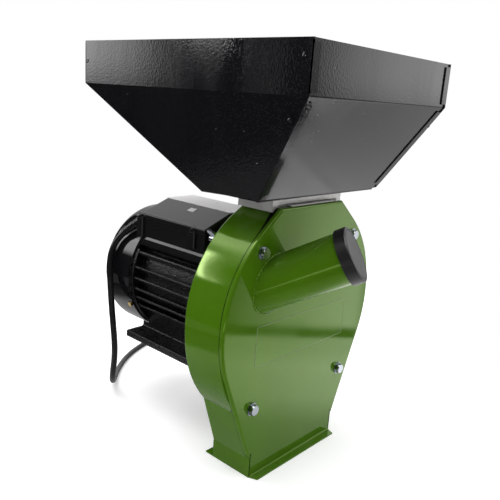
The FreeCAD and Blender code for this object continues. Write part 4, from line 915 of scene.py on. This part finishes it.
class HAMMERMILL_OT_cover_gap_shadow(MillOperator, bpy.types.Operator):
    """Lay dark strips that paint the shade in the gap round the cover and in the chute's corners, and
    finish the chamber's front edges
    """
    bl_idname = "hammermill.cover_seal"
    bl_label = "Cover gap shadow"

    def execute(self, context):
        self.seal()
        self.jaw_lips()
        self.chute_corners()
        return {"FINISHED"}

    def seal(self):
        """A dark strip behind the cover's edge that paints the shadow in the gap, wider near its top left
        corner, where the gap opens.
        """
        line, outward = self.outline()
        away = np.linalg.norm(line - np.array([-0.0486, 0.1105]), axis=1)
        width = 0.0017 + 0.0050 * bump(away, 0.0, 0.022)
        front = COVER_FACE + 0.0042
        profile = [(inset, front + share * width)
                   for inset, share in ((0.0070, 0.0), (0.0007, 0.0), (0.0005, 0.15), (0.0006, 0.85),
                                        (0.0010, 1.0), (0.0070, 1.0))]
        strip = edge_strip(line, -outward, profile)
        # Painted shadow: the dark strip stands for the shade in the gap between cover and chamber.
        mesh_piece("cover_seal", [strip], "gasket_rubber", "shaded_gap")

    def chute_corners(self):
        """The open corners of the chute's front strip: a thin dark line down each and a dot above it,
        painted shade in those corners.
        """
        x, z, line_radius = 0.0673, np.linspace(-0.0620, -0.0838, 20), 0.00038
        patches = []
        for side in (-1, 1):
            path = points_at(side * x, COVER_FACE + 0.0003, z)
            patches.append(tube_patch(path, line_radius, (0, 1, 0), steps=10))
            patches.append(turned((side * x, COVER_FACE + 0.0004, -0.0612), (0, -1, 0),
                                  (0.0, 0.0006, 0.0007), (0.0011, 0.0010, 0.0), steps=20))
        # Painted shade: dark lines where the chute's corners lie in shade.
        mesh_piece("chute_corners", patches, "gasket_rubber", "shaded_gap")

    def jaw_lips(self):
        """The drum's front edge turned inwards below the shaft, where it stands out past the cover: a
        flat strip on each side, from the drum's outline to nine millimetres inside it."""
        knots = np.array([(115.0, 2.0), (114.6, -10.0), (112.5, -29.0), (108.4, -46.0),
                          (102.3, -60.2), (95.3, -72.4), (86.0, -84.5), (80.6, -100.0),
                          (75.4, -115.5), (70.6, -130.0)]) / 1000
        steps = np.linspace(0, len(knots) - 1, 120)
        line = np.stack([np.interp(steps, np.arange(len(knots)), knots[:, i]) for i in (0, 1)], -1)
        inward = -unit(line * (1.0, 0.25))
        front, back = COVER_FACE + 0.0047, COVER_FACE + 0.0055
        profile = ((0.0001, front), (0.0001, back), (0.0090, back), (0.0090, front))
        patches = [edge_strip(line * (side, 1), inward * (side, 1), profile)
                   for side in (1, -1)]
        mesh_piece("drum_lips", patches, "green_enamel", "drum_enamel")

    def outline(self):
        """The cover's edge about the shaft: from one foot straight up to a round arc, along it to where
        the line to the flat top leaves it, over the top and down again. Points and directions out."""
        radius, foot, top = 0.1162, np.array([0.0708, -0.1337]), np.array([0.0486, 0.1105])
        low = math.atan2(foot[1], foot[0]) + math.acos(radius / np.hypot(*foot))
        high = math.atan2(top[1], top[0]) - math.acos(radius / np.hypot(*top))
        angle = np.linspace(low, high, 140)
        arc = radius * np.stack([np.cos(angle), np.sin(angle)], -1)
        share = np.linspace(0, 1, 40)[:, None]
        right = np.concatenate([foot + share[:-1] * (arc[0] - foot), arc,
                                arc[-1] + share[1:] * (top - arc[-1])])
        left = right[::-1] * (-1, 1)
        over = top + np.linspace(0, 1, 24)[1:-1, None] * (left[0] - top)
        line = np.concatenate([right, over, left])
        along = unit(np.gradient(line, axis=0))
        return line, np.stack([along[:, 1], -along[:, 0]], -1)


class HAMMERMILL_OT_labels(MillOperator, bpy.types.Operator):
    """Stick on the blank labels and the cover's film, and round the lid's eaves"""
    bl_idname = "hammermill.labels"
    bl_label = "Blank labels"

    def execute(self, context):
        self.lid_eaves()
        self.lid_label()
        self.cover_film()
        return {"FINISHED"}

    def lid_label(self):
        """A label on the lid's flat top, one corner curled up, h = c (s - 1.2)^2 where s = u - v passes
        1.2, and a small sticker on the lid's slope."""
        low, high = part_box("terminal_lid")
        top = plate_patch((0.0, (low.y + high.y) / 2, high.z + 0.00002), (1, 0, 0), (0, 1, 0),
                          0.0210, (high.y - low.y) / 2 - 0.0025, 0.00018, corner=0.002,
                          bow=lambda u, v: 0.006 * np.clip(u - v - 1.2, 0, 1) ** 2)
        mesh_piece("lid_label", [top], "box_plastic", "label")
        uphill, outward = unit(np.array([0.0365, 0.0, 0.0140])), np.array([-0.358, 0, 0.934])
        place = np.array([-0.0220, -0.0044, high.z]) - 0.0109 * uphill + 0.0001 * outward
        sticker = plate_patch(place, uphill, (0, 1, 0), 0.0034, 0.0048, 0.00015, corner=0.0005)
        mesh_piece("lid_sticker", [sticker], "box_plastic", "label")

    def lid_eaves(self):
        """Rounded beads along the lid's two long eaves: a circle of 1.9 mm carried along each eave, its
        centre set so that it stands 0.15 mm proud of the slope and of the upright side."""
        low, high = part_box("terminal_lid")
        y = np.linspace(low.y + 0.0012, high.y - 0.0012, 40)
        patches = []
        for side in (-1, 1):
            path = points_at(side * 0.05675, y, SHAFT_Z + 0.0730)
            patches.append(tube_patch(path, 0.0019, (0, 0, 1), steps=24))
        mesh_piece("lid_eaves", patches, "box_plastic")

    def cover_film(self):
        """A clear film on the cover, and a thin raised rim round it. The rim's line is a superellipse,
        x = a sign(cos t) |cos t|^p and z = b sign(sin t) |sin t|^p."""
        across, along, power = 0.0715, 0.0200, 0.05
        centre = np.array([0.0, COVER_FACE - 0.00004, SHAFT_Z - 0.0185])
        film = plate_patch(centre, (1, 0, 0), (0, 0, 1), across, along, 0.00012, corner=0.0015)
        mesh_piece("cover_film", [film], "green_enamel", "film")
        angle = np.linspace(0, 2 * np.pi, 400, endpoint=False)
        x, z = (half * np.sign(wave) * np.abs(wave) ** power
                for half, wave in ((across, np.cos(angle)), (along, np.sin(angle))))
        path = centre + points_at(x, -0.00006, z)
        rim = tube_patch(path, 0.00022, (0, -1, 0), steps=8, closed=True)
        # The rim's lighter finish is a painted highlight.
        mesh_piece("film_rim", [rim], "green_enamel", "film_rim_highlight")


def rise(value, start, end):
    """From 0 at start smoothly to 1 at end."""
    share = np.clip((value - start) / (end - start), 0.0, 1.0)
    return share * share * (3 - 2 * share)


def window(value, start, full, fading, end):
    """Up from start to full, down from fading to end."""
    return rise(value, start, full) * rise(-value, -end, -fading)


def bump(value, middle, width):
    """A bell about the middle."""
    return np.exp(-((value - middle) / width) ** 2)


def bare_material(name):
    """A material without its usual shader: it, its tree and the socket of what it shows."""
    material = bpy.data.materials.new(name)
    material.use_nodes = True
    t = Tree(material.node_tree)
    t.nodes.remove(t.nodes["Principled BSDF"])
    return material, t, t.nodes["Material Output"].inputs["Surface"]


class HAMMERMILL_OT_stage(MillOperator, bpy.types.Operator):
    """Set up the table, the plain backdrop light, the softboxes and the dark cloths"""
    bl_idname = "hammermill.stage"
    bl_label = "Stage"

    def execute(self, context):
        stage = context.scene.mill_stage
        self.rig = (Matrix.Translation((stage.eye[0], stage.eye[1], 0.0))
                    @ Matrix.Rotation(stage.heading, 4, "Z"))
        self.world(stage)
        self.table(stage)
        self.cloths(stage)
        self.panels(stage)
        self.top_light(stage)
        return {"FINISHED"}

    def world(self, stage):
        world = bpy.data.worlds.new("plain studio")
        world.use_nodes = True
        bpy.context.scene.world = world
        t = Tree(world.node_tree)
        ray = t.add("ShaderNodeLightPath").outputs
        seen = t.plus(ray["Is Camera Ray"], ray["Is Glossy Ray"])
        seen = t.plus(seen, ray["Is Transmission Ray"], clamp=True)
        back = t.nodes["Background"]
        back.inputs["Color"].default_value = (1, 1, 1, 1)
        t.link(t.remap(seen, 0.0, 1.0, stage.sky, 1.0), back.inputs["Strength"])

    def sheet(self, name, corner, across, up, material, steps=(2, 2), glow=None):
        """A flat sheet in the camera's level frame (right, ahead, up): a corner and two sides.
        glow(u, v) is its brightness, u along the first side and v along the second, from 0 to 1."""
        u, v = np.meshgrid(np.linspace(0, 1, steps[0]), np.linspace(0, 1, steps[1]), indexing="ij")
        points = (np.asarray(corner, float) + u[..., None] * np.asarray(across, float)
                  + v[..., None] * np.asarray(up, float)).reshape(-1, 3)
        rig = np.array(self.rig)
        points = points @ rig[:3, :3].T + rig[:3, 3]
        mesh = bpy.data.meshes.new(name)
        mesh.from_pydata(points.tolist(), [], grid_quads(*steps).tolist())
        if glow is not None:
            values = mesh.attributes.new("glow", "FLOAT", "POINT")
            values.data.foreach_set("value", np.clip(glow(u, v), 0.0, None).ravel())
        mesh.materials.append(material)
        piece = bpy.data.objects.new(name, mesh)
        bpy.context.scene.collection.objects.link(piece)
        return piece

    def table(self, stage):
        """White table. The camera sees it lifted to white, so that only the mill's shadow shows."""
        material, t, shown = bare_material("white table")
        camera_ray = t.add("ShaderNodeLightPath").outputs["Is Camera Ray"]
        plain = t.add("ShaderNodeBsdfDiffuse", {"Color": (0.86, 0.86, 0.86, 1)}).outputs[0]
        added = t.times(camera_ray, stage.table_light)
        glow = t.add("ShaderNodeEmission", {"Strength": added}).outputs[0]
        t.link(t.add("ShaderNodeAddShader", {0: plain, 1: glow}).outputs[0], shown)
        self.sheet("table", (-stage.table_left, -0.6, FLOOR_Z),
                   (stage.table_left + stage.table_right, 0, 0), (0, 2.1, 0), material)

    def cloths(self, stage):
        """Dark cloths that keep the gloss deep: left, behind the camera, right and beside the table."""
        dark, grey = (Finish(name, Base_Color=(shade, shade, shade, 1), Roughness=0.9,
                             Specular_IOR_Level=0.0).material
                      for name, shade in (("dark cloth", 0.02), ("grey cloth", 0.13)))
        low = FLOOR_Z - 0.12
        places = {
            "left_cloth": ((-1.06, -1.2, -0.7), (0, 3.0, 0), (0, 0, 2.1), dark),
            "left_ground": ((-1.06, -1.2, low), (0.62, 0, 0), (0, 3.0, 0), grey),
            "front_cloth": ((-1.06, -0.7, -0.7), (1.7, 0, 0), (0, 0, 2.0), dark),
            "right_cloth": ((0.64, -0.7, -0.7), (0, 2.6, 0), (0, 0, 1.75), dark),
            "right_ground": ((0.39, -0.7, 2 * low), (0.25, 0, 0), (0, 2.6, 0), dark),
        }
        for name, (corner, across, up, finish) in places.items():
            card = self.sheet(name, corner, across, up, finish)
            card.visible_camera = False
            card.visible_diffuse = False

    def panels(self, stage):
        """Two upright softboxes. Left: a wide box, a narrow strip, a leaning streak and two fine
        lines. Right: one box beside the table, brighter towards its far side up to a step."""
        material, t, shown = bare_material("softbox")
        glow = t.add("ShaderNodeAttribute", attribute_name="glow").outputs["Fac"]
        t.link(t.add("ShaderNodeEmission", {"Strength": glow}).outputs[0], shown)

        def left_glow(u, v):
            ahead, high = 0.28 + 0.82 * u, 0.24 + 1.26 * v
            wide = np.interp(ahead, (0.585, 0.61, 0.65, 0.70, 0.75, 1.0, 1.02),
                             (0, 1.2, 2.3, 3.0, 3.8, 3.8, 0)) * window(high, 0.22, 0.36, 0.58, 0.72)
            narrow = 0.6 * window(ahead, 0.54, 0.55, 0.565, 0.575)
            narrow = narrow * rise(high, 0.28, 0.36) * (high < 0.5)
            upper = 2.2 * rise(ahead, 0.60, 0.80) * rise(high, 0.84, 1.06)
            soft = 0.7 * rise(ahead, 0.50, 0.66) * window(high, 0.50, 0.62, 0.95, 1.18)
            leaning = 17.0 * bump(ahead - 0.5 * (high - 0.45), 0.50, 0.018)
            leaning = leaning * window(high, 0.38, 0.43, 0.74, 0.84)
            lines = bump(ahead, 0.34, 0.006) + bump(ahead, 0.358, 0.005)
            return stage.left_panel * (wide + narrow + soft + upper + leaning + lines)

        def right_glow(u, v):
            ahead, high = 0.50 + 1.1 * u, -0.24 + 0.94 * v
            shifted = ahead - 0.22 * np.clip(high + 0.10, 0.0, 0.20)
            cover = np.interp(shifted, (0.53, 0.56, 0.60, 0.65, 0.75), (0.0, 0.4, 0.75, 1.2, 1.55))
            upright = (np.interp(ahead, (0.56, 0.60, 0.66, 0.75), (0.5, 1.4, 1.9, 2.1))
                       * rise(high, 0.20, 0.33))
            slope = np.interp(high, (-0.25, -0.20, -0.15, -0.05), (1.15, 1.05, 0.90, 0.75))
            near = np.where(high < 0.15, cover * rise(high, -0.139, -0.132),
                            np.maximum(upright, 0.3 * cover))
            return stage.right_panel * np.where(ahead < 0.795, near, slope)

        left = self.sheet("left_softbox", (-0.98, 0.28, 0.24), (0, 0.82, 0), (0, 0, 1.26), material,
                          (165, 97), left_glow)
        right = self.sheet("right_softbox", (0.55, 0.50, -0.24), (0, 1.1, 0), (0, 0, 0.94), material,
                           (89, 189), right_glow)
        for panel in (left, right, self.sheen(stage, material)):
            panel.visible_camera = False
            panel.visible_shadow = False
        left.visible_diffuse = False

    def sheen(self, stage, material):
        """What polished paint sees of the table: bright on the right, dim where the mill shades it."""
        left, wide, near, deep = -stage.table_left, stage.table_left + stage.table_right, -0.1, 1.6

        def glow(u, v):
            right, ahead = left + wide * u, near + deep * v
            across = np.interp(right,
                               (-0.40, -0.30, -0.26, -0.20, -0.13, -0.05, 0.08, 0.12, 0.18, 0.27, 0.33),
                               (0.03, 0.12, 0.62, 0.50, 0.25, 0.30, 0.45, 0.60, 1.25, 1.50, 1.20))
            back = np.interp(ahead, (0.25, 0.36, 0.50, 0.60, 0.70), (0.1, 0.6, 0.85, 1.1, 1.15))
            return stage.sheen * across * back

        piece = self.sheet("table_sheen", (left, near, FLOOR_Z + 0.0003), (wide, 0, 0), (0, deep, 0),
                           material, (82, 161), glow)
        piece.visible_diffuse = False
        return piece

    def top_light(self, stage):
        """Two softboxes: one above the mill, and one behind it on the left that leans towards it."""
        self.lamp("top softbox", stage.top_panel, (1.5, 1.3), (-0.10, 0.55, 1.38),
                  (-0.10, 0.55, 0.0), mirrored=True)
        self.lamp("rear softbox", stage.rear_panel, (0.8, 0.5), (-0.95, 1.05, 0.72),
                  (-0.02, 0.66, 0.14), mirrored=False)

    def lamp(self, name, radiance, size, place, target, mirrored):
        """A rectangular lamp in the camera's level frame, facing a target; its radiance is 1 at white.
        Gloss shows it only if it is mirrored."""
        data = bpy.data.lights.new(name, "AREA")
        data.shape, data.size, data.size_y = "RECTANGLE", *size
        data.energy = radiance * math.pi * size[0] * size[1]
        piece = bpy.data.objects.new(name, data)
        facing = (Vector(target) - Vector(place)).to_track_quat("-Z", "Y").to_matrix().to_4x4()
        piece.matrix_world = self.rig @ Matrix.Translation(place) @ facing
        piece.visible_camera = False
        piece.visible_glossy = mirrored
        bpy.context.scene.collection.objects.link(piece)


STEPS = (HAMMERMILL_OT_camera, HAMMERMILL_OT_finishes, HAMMERMILL_OT_plug, HAMMERMILL_OT_mains_lead,
         HAMMERMILL_OT_cover_gap_shadow, HAMMERMILL_OT_welds, HAMMERMILL_OT_labels, HAMMERMILL_OT_stage)


class HAMMERMILL_PT_panel(bpy.types.Panel):
    """Lists the steps that dress the mill, and the sizes and colours behind them"""
    bl_idname = "HAMMERMILL_PT_panel"
    bl_label = "Hammer mill"
    bl_space_type = "VIEW_3D"
    bl_region_type = "UI"
    bl_category = "Hammer mill"

    def draw(self, context):
        for step in STEPS:
            self.layout.operator(step.bl_idname, text=step.bl_label)
        for group in (context.scene.mill_lead, context.scene.mill_finish, context.scene.mill_stage):
            box = self.layout.box()
            for name in group.__annotations__:
                box.prop(group, name)


CLASSES = (MillLead, MillFinish, MillStage, *STEPS, HAMMERMILL_PT_panel)


def register():
    for cls in CLASSES:
        bpy.utils.register_class(cls)
    bpy.types.Scene.mill_lead = PointerProperty(type=MillLead)
    bpy.types.Scene.mill_finish = PointerProperty(type=MillFinish)
    bpy.types.Scene.mill_stage = PointerProperty(type=MillStage)


def unregister():
    for name in ("mill_lead", "mill_finish", "mill_stage"):
        delattr(bpy.types.Scene, name)
    for cls in reversed(CLASSES):
        bpy.utils.unregister_class(cls)


def main():
    register()
    bpy.context.scene.view_settings.view_transform = "Standard"
    for step in STEPS:
        group, name = step.bl_idname.split(".")
        getattr(getattr(bpy.ops, group), name)()
    bpy.context.view_layer.update()


if __name__ == "__main__":
    main()
